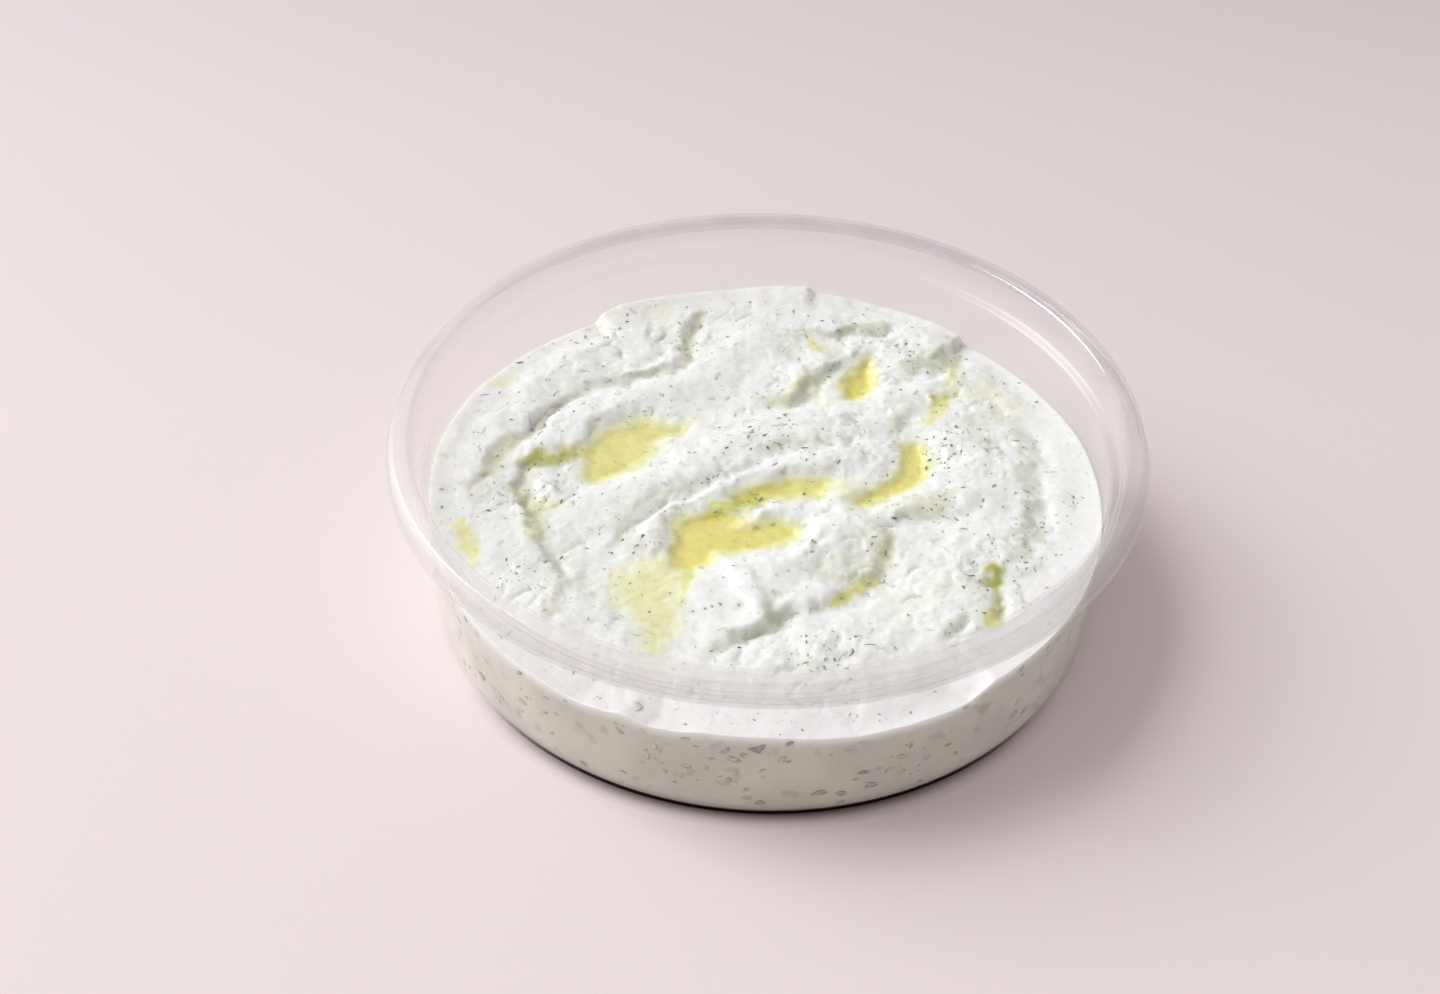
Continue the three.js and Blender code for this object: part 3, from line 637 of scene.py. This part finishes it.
def surface(x, y):
    """Height of the dip, how far inside a pool's shore, and how much thin oil lies there."""
    z, shore = surface_form(x, y)
    oil = oiled(x, y, shore)
    smooth = np.minimum(mix(0.3, 1.0, smoothstep(-shore, -0.4, 1.2)), 1 - 0.7 * oil)
    return z + surface_grain(x, y) * smooth, shore, oil


def height_field():
    """The dip's heights over a square grid of the plan."""
    axis = np.arange(-FIELD_HALF, FIELD_HALF + 1) * FIELD_STEP
    return surface(*np.meshgrid(axis, axis))[0]


def height_at(field, x, y):
    """The field's height at points of the plan, read between its grid points."""
    u, v = x / FIELD_STEP + FIELD_HALF, y / FIELD_STEP + FIELD_HALF
    i = np.clip(np.floor(u).astype(int), 0, 2 * FIELD_HALF - 1)
    j = np.clip(np.floor(v).astype(int), 0, 2 * FIELD_HALF - 1)
    u, v = u - i, v - j
    near, far = mix(field[j, i], field[j, i + 1], u), mix(field[j + 1, i], field[j + 1, i + 1], u)
    return mix(near, far, v)


def hollowness(field, x, y, reach, depth):
    """1 where the dip lies deeper by the given depth than its neighbourhood, 0 where it doesn't."""
    ways = ((reach, 0), (-reach, 0), (0, reach), (0, -reach))
    around = sum(height_at(field, x + dx, y + dy) for dx, dy in ways) / len(ways)
    return np.clip((around - height_at(field, x, y)) / depth, 0, 1)


def oiled(x, y, shore):
    """How much thin oil lies on the dip at a point, 0 to 1."""
    x, y = wander(x, y)
    amount = 0.55 * smoothstep(shore, -1.7, 0.3)
    ragged = waves(x, y, STAIN_SHORE)
    for strength, softness, *path in STAINS:
        inside = along_path(path, x, y)[3] + ragged
        amount = np.maximum(amount, strength * smoothstep(inside, -softness, softness))
    return amount


def crease_shading(x, y):
    """How much painted crease shade lies at a point, 0 to 1."""
    ragged = waves(x, y, CREASE_SHORE)
    x, y = wander(x, y)
    amount = np.zeros(x.shape)
    for strength, *path in CREASE_SHADES:
        inside = along_path(path, x, y)[3] + ragged
        amount = np.maximum(amount, strength * smoothstep(inside, -1.3, 1.2))
    return amount


def wall_radius(z):
    """The outer radius of the pot's straight wall at a height."""
    return mix(BASE_RADIUS, WALL_TOP_RADIUS, (z - BASE_CORNER) / (WALL_TOP - BASE_CORNER))


def surface_normals(field, x, y):
    step = 0.5
    dx = (height_at(field, x + step, y) - height_at(field, x - step, y)) / (2 * step)
    dy = (height_at(field, x, y + step) - height_at(field, x, y - step)) / (2 * step)
    return unit(columns(-dx, -dy, 1.0))


# ---- meshes

def add_piece(name, points, faces, material, slot, replaces=None, **shades):
    """A smooth mesh piece from points in millimetres, riding on the one body, with shades that
    its material reads: a number for each point."""
    mesh = bpy.data.meshes.new(name)
    faces = faces if isinstance(faces, list) else faces.tolist()
    mesh.from_pydata((np.asarray(points) * MM).tolist(), [], faces)
    mesh.materials.append(material)
    mesh.polygons.foreach_set("use_smooth", [True] * len(mesh.polygons))
    mesh.update()
    for shade, values in shades.items():
        mesh.attributes.new(shade, "FLOAT", "POINT").data.foreach_set("value", values)
    piece = add_object(name, mesh)
    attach(piece, "root")
    if replaces:
        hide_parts(replaces)
    return piece


def band_faces(start, rings, sides):
    """Quads between the rings of a tube whose points are numbered ring by ring."""
    faces = []
    for ring in range(rings - 1):
        for k in range(sides):
            a, b = start + ring * sides + k, start + ring * sides + (k + 1) % sides
            faces.append([a, b, b + sides, a + sides])
    return faces


def tube_faces(start, rings, sides):
    """A tube's quads and its two end caps."""
    first = [start + k for k in range(sides)]
    last = [start + (rings - 1) * sides + k for k in range(sides)]
    return band_faces(start, rings, sides) + [first[::-1], last]


def disc_rings(rings, radius):
    """Points and triangles of a flat disc, where ring k has 6k points, and the rim's start."""
    points, faces = [[(0.0, 0.0)]], []
    inner, outer = 0, 1
    for ring in range(1, rings + 1):
        count = 6 * ring
        step = np.arange(count)
        points.append(columns(*polar(radius * ring / rings, step * (math.tau / count))))
        sector, i = np.divmod(step, ring)
        nearest = sector * (ring - 1) + i
        a, d = (inner + (nearest + ahead) % max(count - 6, 1) for ahead in (0, 1))
        b, c = outer + step, outer + (step + 1) % count
        faces += [columns(a, b, c), columns(a, c, d)[i + 1 < ring]]
        inner, outer = outer, outer + count
    return np.vstack(points), np.vstack(faces), inner


def dip_rings(rim_levels):
    """Radius and height of the rings of the dip's body, from its rim down to the base panel."""
    corner = BASE_RADIUS - INTO_WALL - BASE_CORNER
    corner_level = INTO_WALL + BASE_CORNER
    rings = []
    for share in np.linspace(0, 1, 8)[1:]:
        height = mix(rim_levels, corner_level, share)
        rings.append((wall_radius(height) - INTO_WALL, height))
    for turn in np.linspace(0, math.pi / 2, 4)[1:]:
        rings.append((corner + BASE_CORNER * math.cos(turn),
                      corner_level - BASE_CORNER * math.sin(turn)))
    return rings + [(FOOT_INNER, INTO_WALL), (FOOT_INNER - 1.3, PANEL_RISE + INTO_WALL)]


def close_dip(points, faces, rim_start):
    """The dip's surface closed by its body, which reaches just into the pot's wall."""
    rim_levels = points[rim_start:, 2]
    count = len(rim_levels)
    step = np.arange(count)
    angle = step * (math.tau / count)
    following = (step + 1) % count
    previous = rim_start
    sheets = [faces]
    for radius, height in dip_rings(rim_levels):
        start = len(points)
        points = np.vstack([points, columns(*polar(radius, angle), height)])
        a, b, c, d = previous + step, previous + following, start + step, start + following
        sheets += [columns(a, c, b), columns(b, c, d)]
        previous = start
    sheets.append(columns(previous + step, len(points), previous + following))
    points = np.vstack([points, [[0, 0, PANEL_RISE + INTO_WALL]]])
    return points, np.vstack(sheets)


def add_dip(field, material):
    """The dip with the shades that its material reads: painted shade in hollows and creases, thin
    oil, the side's painted shade with the painted rim shadow at the top's edge, and the even edge.
    """
    edge = wall_radius(FRONT_LEVEL) - INTO_WALL
    plan, faces, rim_start = disc_rings(DIP_RINGS, edge)
    x, y = plan.T
    z, shore, stain = surface(x, y)
    points = columns(x, y, z)
    points[rim_start:, :2] *= ((wall_radius(z[rim_start:]) - INTO_WALL) / edge)[:, None]
    points, faces = close_dip(points, faces, rim_start)
    in_pool = smoothstep(shore, -1.5, 0.3)
    # Painted shade in hollows and creases, held back on the pools.
    hollow = np.maximum(hollowness(field, x, y, 2.4, 0.9),
                        0.7 * hollowness(field, x, y, 1.0, 0.35))
    hollow = np.maximum(0.8 * hollow * (1 - in_pool), crease_shading(x, y) * (1 - 0.4 * in_pool))
    radius = np.maximum(np.hypot(x, y), 1)
    # Painted rim shadow: near the wall on the side toward the light, the top takes a little of the
    # side's darker colour.
    from_light = smoothstep((-0.95 * x + 0.3 * y) / radius, 0.0, 0.8)
    painted_rim_shadow = 0.35 * from_light * smoothstep(radius, edge - 4, edge)
    plain = smoothstep(radius, 45, 49.5) * mix(0.3, 1.0, smoothstep(-y / radius, 0.0, 0.7))
    below = np.zeros(len(points) - len(plan))
    dip = add_piece("dip_yoghurt", points, faces, material, "dip", "dip",
                    hollow=np.append(hollow, below), oiled=np.append(stain, below),
                    side=np.append(painted_rim_shadow, below + 1), even=np.append(plain, below))
    edges = np.zeros(2 * len(dip.data.edges), int)
    dip.data.edges.foreach_get("vertices", edges)
    on_rim = ((edges >= rim_start) & (edges < len(plan))).reshape(-1, 2).all(1)
    dip.data.edges.foreach_set("use_edge_sharp", on_rim)


def add_oil(name, level, branches, material):
    """Oil up to its level over the bed, running out just under the shore."""
    margin = 2.6
    corners = np.vstack([np.array(branch) for branch in branches])
    low = (corners[:, :2] - corners[:, 2:]).min(0) - margin
    high = (corners[:, :2] + corners[:, 2:]).max(0) + margin
    gx, gy = np.arange(low[0], high[0], OIL_STEP), np.arange(low[1], high[1], OIL_STEP)
    x, y = (a.ravel() for a in np.meshgrid(gx, gy))
    inside, _ = pool_reach(branches, *wander(x, y))
    wet = inside > -0.9
    cells = np.arange(len(x)).reshape(len(gy), len(gx))
    quads = columns(cells[:-1, :-1], cells[:-1, 1:], cells[1:, 1:], cells[1:, :-1])
    quads = quads.reshape(-1, 4)
    quads = quads[wet[quads].all(1)]
    used, quads = np.unique(quads, return_inverse=True)
    quads = quads.reshape(-1, 4)
    x, y, inside = x[used], y[used], inside[used]
    meniscus = 0.10 * np.clip(1 - np.abs(inside) / 0.7, 0, 1) ** 2
    top = level + meniscus - 0.6 * np.clip(-0.25 - inside, 0, None)
    bottom = np.minimum(surface(x, y)[0], top) - 0.25
    count = len(x)
    points = np.vstack([columns(x, y, top), columns(x, y, bottom)])
    edges = {}
    for quad in quads.tolist():
        for a, b in zip(quad, quad[1:] + quad[:1]):
            if not edges.pop((b, a), False):
                edges[a, b] = True
    sides = [[a, a + count, b + count, b] for a, b in edges]
    faces = quads.tolist() + (quads[:, ::-1] + count).tolist() + sides
    add_piece(name + "_clear", points, faces, material, "oil", name)


def rounded(corners):
    """A path through corners (r, z, rounding), each rounded by an arc."""
    path = []
    for i, (r, z, rounding) in enumerate(corners):
        here = np.array([r, z], float)
        if rounding == 0:
            path.append(here)
            continue
        before, after = unit(np.array([corners[i - 1][:2], corners[i + 1][:2]]) - here)
        half = math.acos(np.clip(before @ after, -1, 1)) / 2
        reach = rounding / math.tan(half)
        middle = (before + after) / np.linalg.norm(before + after)
        centre = here + middle * rounding / math.sin(half)
        start, end = here + before * reach - centre, here + after * reach - centre
        turn = math.atan2(start[0] * end[1] - start[1] * end[0], start @ end)
        for share in np.linspace(0, 1, ARC_STEPS):
            c, s = math.cos(turn * share), math.sin(turn * share)
            path.append(centre + (c * start[0] - s * start[1], s * start[0] + c * start[1]))
    return np.array(path)


def pot_profile():
    """Both faces of the formed sheet: up the outside, round the skirt's lip, down the inside."""
    half = SHEET / 2
    middle = rounded([
        (0, PANEL_RISE + half, 0),
        (FOOT_INNER - 1.4, PANEL_RISE + half, 0.8),
        (FOOT_INNER, half, 0.8),
        (BASE_RADIUS - half - 0.1, half, BASE_CORNER - half),
        *((wall_radius(z) - half, z, 0) for z in FOOT_RINGS),
        (WALL_TOP_RADIUS - half, WALL_TOP, 1.0),
        (NECK_RADIUS - half, WALL_TOP + LEDGE_RISE, 1.0),
        (NECK_RADIUS - half + NECK_FLARE, POT_HEIGHT - half, RIM_ROUND - half),
        (RIM_EDGE - half, POT_HEIGHT - half, RIM_ROUND - half - 0.2),
        (SKIRT_RADIUS - half - 0.1, SKIRT_BOTTOM + half + 0.26, 0.22),
        (SKIRT_RADIUS - half + 0.31, SKIRT_BOTTOM + half, 0),
    ])
    run = unit(np.gradient(middle, axis=0))
    outward = columns(run[:, 1], -run[:, 0])
    outward[0] = (0, -1)
    outward[-1] = (-1, 0)
    lip = middle[-1:] - (0, half)
    return np.vstack([middle + outward * half, lip, (middle - outward * half)[::-1]])


def add_tub(material):
    """The pot: its profile turned about the middle, with a rim that wavers a little."""
    profile = pot_profile()
    angle = np.arange(POT_SEGMENTS) * (math.tau / POT_SEGMENTS)
    wobble = 0.10 * np.sin(2 * angle + 0.7) + 0.05 * np.sin(5 * angle + 2.0)
    radius, height = profile[1:-1].T[:, :, None]
    radius = radius + smoothstep(height, 20, POT_HEIGHT) * (wobble - 0.15)
    rings = columns(*polar(radius, angle), height)
    ends = [[0, 0, profile[0, 1]], [0, 0, profile[-1, 1]]]
    points = np.vstack([rings.reshape(-1, 3), ends])
    rows = len(profile) - 2
    faces = band_faces(0, rows, POT_SEGMENTS)
    under, top = rows * POT_SEGMENTS, (rows - 1) * POT_SEGMENTS
    for i in range(POT_SEGMENTS):
        j = (i + 1) % POT_SEGMENTS
        faces += [[under, j, i], [under + 1, top + i, top + j]]
    x, y, z = points.T
    radius = np.maximum(np.hypot(x, y), 1)
    bead = np.maximum(smoothstep(radius, NECK_RADIUS + 0.2, NECK_RADIUS + 0.8),
                      smoothstep(z, POT_HEIGHT - 1.5, POT_HEIGHT - 0.9))
    # Painted dark contact line: the lowest band of the foot, in front only, which the material
    # darkens where it is seen edge on.
    foot = smoothstep(z, 1.55, 1.2) * (radius > FOOT_INNER + 2) * smoothstep(-y / radius, 0.6, 0.92)
    # Partly painted: the rim is hazier and lighter toward the front and left, standing in for the
    # bright dip seen through it, and darker, with more gloss, toward the back and right as painted
    # shade; plus a slow random change.
    cloud = 0.5 + 0.45 * (-0.6 * x - 0.8 * y) / radius + 0.35 * gradient_noise(x, y, 9.0, 51)
    add_piece("tub_clear", points, faces, material, "clear_plastic", "tub", thick=bead, foot=foot,
              cloud=np.clip(cloud, 0, 1))


def bits_mesh(places, aheads, ups, lengths, widths, thicks, bends, sides=5, rings=4):
    """Many small tapering bits as one set of points and faces, each bent along its length."""
    points, faces = [], []
    turns = [math.tau * k / sides for k in range(sides)]
    for place, ahead, up, length, width, thick, bend in zip(places, aheads, ups, lengths,
                                                            widths, thicks, bends):
        faces += tube_faces(len(points), rings, sides)
        across = np.cross(up, ahead)
        for t in np.linspace(-0.5, 0.5, rings):
            swell = math.sqrt(max(1 - (2 * t) ** 2 * 0.9, 0.06))
            spine = place + ahead * (t * length) + across * (bend * length * (t * t * 4 - 0.5))
            for turn in turns:
                points.append(spine + across * (width / 2 * swell * math.cos(turn))
                              + up * (thick / 2 * swell * math.sin(turn)))
    return np.array(points), faces


def laid_flat(aheads, normals):
    """Directions turned into the planes that their normals stand on."""
    return unit(aheads - normals * (aheads * normals).sum(1)[:, None])


def lay_on(field, draw, x, y, lift):
    """Places, directions and normals for bits that lie on the dip at points of the plan."""
    z = surface(x, y)[0]
    level = np.full(x.shape, -FAR)
    for pool_level, _, branches in POOLS.values():
        inside, _ = pool_reach(branches, *wander(x, y))
        level = np.where(inside > 0, pool_level, level)
    floats = level > z
    normals = surface_normals(field, x, y)
    normals[floats] = (0, 0, 1)
    z = np.where(floats, level, z)
    aheads = columns(*polar(1, draw.normal(0.52, 1.0, len(x))), 0.0)
    places = columns(x, y, z) + normals * np.reshape(lift, (-1, 1))
    return places, laid_flat(aheads, normals), normals


def scatter(field, draw, count):
    """Points of the plan, thicker in the dill heaps, in hollows and where a slow noise says so,
    and fewer on the pools."""
    radius = 53.0 * np.sqrt(draw.uniform(0, 1, count * 12))
    x, y = polar(radius, draw.uniform(0, math.tau, count * 12))
    clumps = smoothstep(gradient_noise(x, y, 5.0, 31), -0.1, 0.5)
    chance = 0.05 + 0.25 * hollowness(field, x, y, 3.0, 0.8) + 0.14 * clumps
    pools = [pool_reach(branches, *wander(x, y))[0] for _, _, branches in POOLS.values()]
    pooled = np.max(pools, 0) > -0.5
    chance = np.where(pooled, 0.15 * chance, chance)
    chance = chance + mix(0.5, 0.25, pooled) * near_any(x, y, DILL_HEAPS) ** 2
    kept = draw.uniform(0, 1, len(x)) < chance
    return x[kept][:count], y[kept][:count]


def add_bits(name, bits, material, tones):
    """A piece of many bits, each with a tone of its own."""
    points, faces = bits
    tones = np.repeat(tones, len(points) // len(tones))
    add_piece(name, points, faces, material, "dill", shade=tones)


def add_dill(field, material):
    """Chopped dill on the dip: specks and short threads, most of them half sunk in it."""
    draw = np.random.default_rng(5)
    x, y = scatter(field, draw, DILL_SPECKS)
    count = len(x)
    lengths = draw.lognormal(math.log(0.38), 0.5, count).clip(0.16, 1.5)
    widths = (lengths * draw.uniform(0.3, 0.7, count)).clip(0.13, 0.45)
    sunk = draw.uniform(-0.30, 0.08, count) * widths
    laid = lay_on(field, draw, x, y, sunk)
    bits = bits_mesh(*laid, lengths, widths, widths * 0.6, draw.uniform(-0.15, 0.15, count))
    tones = draw.uniform(0, 1, count) ** 0.5 * (1 - 0.45 * near_any(x, y, DILL_HEAPS))
    add_bits("dill_specks", bits, material, tones)
    x, y = scatter(field, draw, DILL_THREADS)
    count = len(x)
    laid = lay_on(field, draw, x, y, draw.uniform(-0.05, 0.02, count))
    ranges = ((0.9, 1.9), (0.10, 0.20), (0.08, 0.12), (-0.2, 0.2))
    bits = bits_mesh(*laid, *(draw.uniform(*span, count) for span in ranges), rings=7)
    add_bits("dill_threads", bits, material, draw.uniform(0.2, 1, count))


def add_side_dill(material):
    """Dill flecks in the dip's side, flat behind the pot's wall."""
    draw = np.random.default_rng(8)
    count = SIDE_FLECKS
    turn = draw.uniform(0, math.tau, count)
    level = wall_level(*polar(1, turn))
    height = mix(1.6, level - 0.8, draw.uniform(0, 1, count) ** 0.9)
    outward = unit(columns(*polar(1, turn), -0.016))
    places = columns(*polar(wall_radius(height) - INTO_WALL + 0.01, turn), height)
    roll = draw.normal(0.35, 0.6, count)
    aheads = columns(-np.sin(turn) * np.cos(roll), np.cos(turn) * np.cos(roll), np.sin(roll))
    lengths = draw.lognormal(math.log(0.9), 0.55, count).clip(0.3, 4.5)
    widths = (lengths * draw.uniform(0.3, 0.7, count)).clip(0.2, 1.1)
    bits = bits_mesh(places, laid_flat(aheads, outward), outward, lengths, widths,
                     np.full(count, 0.06), draw.uniform(-0.2, 0.2, count), sides=6, rings=5)
    add_bits("dill_side", bits, material, draw.uniform(0, 1, count))


def short_shreds(field, draw, count):
    """Short shreds of cucumber flesh at points of the plan, as path, width and shade."""
    shreds = []
    x, y = scatter(field, draw, count)
    clear = surface(x, y)[2] < 0.15
    for here in columns(x, y)[clear]:
        turn = draw.normal(0.52, 1.0)
        ahead = np.array(polar(1, turn)) * draw.uniform(0.6, 1.4)
        aside = np.array([-ahead[1], ahead[0]]) * draw.uniform(-0.3, 0.3)
        path = [here - ahead, here + aside, here + ahead]
        shreds.append((path, draw.uniform(0.45, 0.9), draw.uniform(0.75, 1)))
    return shreds


def add_cucumber(field, material):
    """Grated cucumber: the shreds that lie open on top, and short ones half sunk in the dip."""
    draw = np.random.default_rng(21)
    points, faces, shades = [], [], []
    start = 0
    sides = 6
    for path, width, shade in SHREDS + short_shreds(field, draw, SHORT_SHREDS):
        line = smooth_path(path)[:, :2]
        normal = surface_normals(field, *line.T)
        spine = columns(*line.T, height_at(field, *line.T)) - normal * 0.05
        across = np.cross(normal, unit(np.gradient(spine, axis=0)))
        swell = np.sqrt(np.clip(1 - 0.95 * np.linspace(-1, 1, len(spine)) ** 4, 0.05, 1))
        half = width / 2 * swell[:, None]
        block = []
        for k in range(sides):
            turn = math.tau * k / sides
            block.append(spine + across * half * math.cos(turn)
                         + normal * half * 0.25 * math.sin(turn))
        points.append(np.stack(block, 1).reshape(-1, 3))
        faces += tube_faces(start, len(spine), sides)
        shades.append(np.full(len(points[-1]), shade))
        start += len(points[-1])
    add_piece("cucumber_shreds", np.vstack(points), faces, material, "cucumber",
              shade=np.concatenate(shades))


# ---- materials

def yoghurt_material():
    """Fine grained white, tinted by thin oil, with painted shade in hollows and creases; greyer
    where the wall covers it with painted shade, which also paints the rim's shadow at the top's
    edge toward the light.
    """
    tree, shader = new_material("yoghurt")
    white = tree.ramp(tree.noise(260.0, 5.0, 0.6), (0.34, (0.84, 0.86, 0.825)),
                      (0.50, (0.905, 0.912, 0.90)), (0.7, (0.94, 0.937, 0.93)))
    mottle = tree.ramp(tree.noise(800.0, 3.0), (0.34, (0.93, 0.945, 0.92)), (0.6, 1.0))
    flecks = tree.ramp(tree.noise(560.0, 2.0), (0.64, 0.0), (0.75, 1.0))
    body = tree.blend(flecks, tree.multiply(white, mottle), (0.60, 0.65, 0.55))
    body = tree.blend(tree.shade("even"), body, (0.945, 0.94, 0.935))
    oily = tree.shade("oiled")
    stained = tree.ramp(oily, (0.0, 1.0), (0.35, (0.99, 0.985, 0.85)),
                        (0.65, (0.97, 0.945, 0.62)), (1.0, (0.86, 0.855, 0.36)))
    # Painted shade in hollows and creases: darker and olive-grey.
    sunk = tree.ramp(tree.shade("hollow"), (0.1, 1.0), (0.4, (0.92, 0.92, 0.86)),
                     (1.0, (0.64, 0.645, 0.52)))
    body = tree.multiply(tree.multiply(body, stained), sunk)
    # The side's darker grey-beige is painted shade, with dill flecks in it.
    painted_side_shade = tree.ramp(tree.noise(90.0, 3.0), (0.35, (0.60, 0.595, 0.522)),
                          (0.65, (0.705, 0.686, 0.604)))
    side_flecks = tree.ramp(tree.noise(330.0, 1.5), (0.60, 0.0), (0.76, 0.8))
    side = tree.blend(side_flecks, painted_side_shade, (0.42, 0.43, 0.36))
    tree.fill(shader, {
        "Base Color": tree.blend(tree.shade("side"), body, side),
        "Roughness": tree.spread(oily, 0.0, 1.0, 0.45, 0.12),
        "IOR": 1.36,
        "Subsurface Weight": 0.6,
        "Subsurface Radius": (1.0, 0.95, 0.85),
        "Subsurface Scale": 1.5 * MM,
        "Normal": tree.bump(tree.noise(1500.0, 4.0), 0.4, 0.14),
    })
    return tree.owner


def dill_material(name, dark, light):
    tree, shader = new_material(name)
    tone = tree.ramp(tree.shade("shade"), (0.0, dark), (1.0, light))
    spots = tree.ramp(tree.noise(1400.0, 2.0), (0.3, 0.7), (0.7, (1.2, 1.2, 1.1)))
    tree.fill(shader, {
        "Base Color": tree.multiply(tone, spots),
        "Roughness": 0.5,
        "Normal": tree.bump(tree.noise(3000.0, 2.0), 0.3, 0.05),
    })
    return tree.owner


def cucumber_material():
    tree, shader = new_material("cucumber")
    tone = tree.ramp(tree.shade("shade"), (0.0, (0.76, 0.715, 0.62)), (0.35, (0.78, 0.78, 0.68)),
                     (0.7, (0.89, 0.92, 0.84)), (1.0, (0.94, 0.945, 0.92)))
    veins = tree.ramp(tree.noise(900.0, 3.0), (0.3, (0.9, 0.9, 0.88)), (0.7, 1.05))
    tree.fill(shader, {
        "Base Color": tree.multiply(tone, veins),
        "Roughness": 0.25,
        "Subsurface Weight": 0.5,
        "Subsurface Radius": (1.0, 0.95, 0.8),
        "Subsurface Scale": 1.2 * MM,
        "Normal": tree.bump(tree.noise(1200.0, 2.0), 0.3, 0.08),
    })
    return tree.owner


def oil_material():
    """Clear oil that takes its yellow from its depth. Light from the lamps and off matt things
    passes straight through, so the bed is lit."""
    tree, shader = new_material("olive_oil")
    tree.fill(shader, {
        "Base Color": (1, 1, 1),
        "Roughness": 0.02,
        "Transmission Weight": 1.0,
        "IOR": 1.47,
        "Normal": tree.bump(tree.noise(250.0, 1.0), 0.1, 0.1),
    })
    depth = tree.add("VolumeAbsorption", {"Color": (0.96, 0.865, 0.04), "Density": 480.0})
    path = tree.add("LightPath", {})
    clear = tree.clear((1, 1, 1))
    passed = shader.outputs["BSDF"]
    for ray in ("Is Diffuse Ray", "Is Shadow Ray"):
        passed = tree.mix_shaders(path.outputs[ray], passed, clear)
    tree.fill(tree.nodes["Material Output"], {"Surface": passed, "Volume": depth.outputs["Volume"]})
    return tree.owner


def plastic_material():
    """Thin clear sheet: what is behind shows through unbent, with a faint haze and a gloss that
    grow with the slant. The rim bead is cloudier, with painted light and shade: hazier toward the
    front and left, darker toward the back and right. The tight corner at the foot has a painted
    dark line in front where it is seen edge on, and the shadow is a constant tint."""
    tree, shader = new_material("clear_plastic")
    haze = tree.ramp(tree.noise(40.0, 3.0), (0.3, (0.955, 0.935, 0.925)),
                     (0.7, (1.0, 0.985, 0.975)))
    tree.fill(shader, {"Base Color": haze, "Roughness": 0.5})
    slant = tree.add("LayerWeight", {"Blend": 0.5}).outputs["Facing"]
    thick, cloud = tree.shade("thick"), tree.shade("cloud")
    sheet_haze = tree.ramp(slant, (0.0, 0.035), (0.6, 0.06), (1.0, 0.26))
    bead_haze = tree.ramp(slant, (0.0, 0.19), (0.6, 0.20), (1.0, 0.20))
    clouds = tree.ramp(cloud, (0.0, 0.2), (1.0, 1.15))
    cloudy = tree.blend(thick, sheet_haze, tree.multiply(bead_haze, clouds))
    sheet_gloss = tree.ramp(slant, (0.0, 0.022), (0.4, 0.032), (0.75, 0.06), (1.0, 0.30))
    bead_gloss = tree.ramp(slant, (0.0, 0.055), (0.4, 0.055), (0.75, 0.06), (1.0, 0.09))
    shine = tree.ramp(cloud, (0.0, 1.5), (1.0, 0.6))
    glossy = tree.blend(thick, sheet_gloss, tree.multiply(bead_gloss, shine))
    # Painted dark contact line on the front of the foot, where it is seen edge on.
    painted_foot_shade = tree.multiply(tree.shade("foot"), tree.ramp(slant, (0.14, 0.0), (0.25, 1.0)))
    # Painted shade on the bead: a darker tint toward the back and right of the rim.
    bead_tint_and_shade = tree.blend(cloud, (0.945, 0.937, 0.945), (0.985, 0.98, 0.98))
    tint = tree.blend(thick, (0.996, 0.992, 0.992), bead_tint_and_shade)
    through = tree.clear(tree.blend(painted_foot_shade, tint, (0.25, 0.215, 0.185)))
    body = tree.mix_shaders(tree.blend(painted_foot_shade, cloudy, (0, 0, 0)), through, shader.outputs["BSDF"])
    sheen = tree.add("BsdfAnisotropic", {"Roughness": tree.spread(thick, 0.0, 1.0, 0.28, 0.07)})
    whole = tree.mix_shaders(tree.blend(painted_foot_shade, glossy, (0.01, 0.01, 0.01)), body,
                             sheen.outputs["BSDF"])
    shadow = tree.clear(tree.blend(thick, (0.962, 0.957, 0.957), (0.90, 0.895, 0.895)))
    is_shadow = tree.add("LightPath", {}).outputs["Is Shadow Ray"]
    seen = tree.mix_shaders(is_shadow, whole, shadow)
    tree.fill(tree.nodes["Material Output"], {"Surface": seen})
    return tree.owner


# ---- the scene

add_camera()
add_lights()
add_floor()
add_tub(plastic_material())
heights = height_field()
add_dip(heights, yoghurt_material())
oil = oil_material()
for pool_name, (pool_level, _, pool_branches) in POOLS.items():
    add_oil(pool_name, pool_level, pool_branches, oil)
add_cucumber(heights, cucumber_material())
add_dill(heights, dill_material("dill", (0.12, 0.14, 0.09), (0.50, 0.56, 0.44)))
add_side_dill(dill_material("dill_in_dip", (0.37, 0.375, 0.325), (0.62, 0.61, 0.53)))
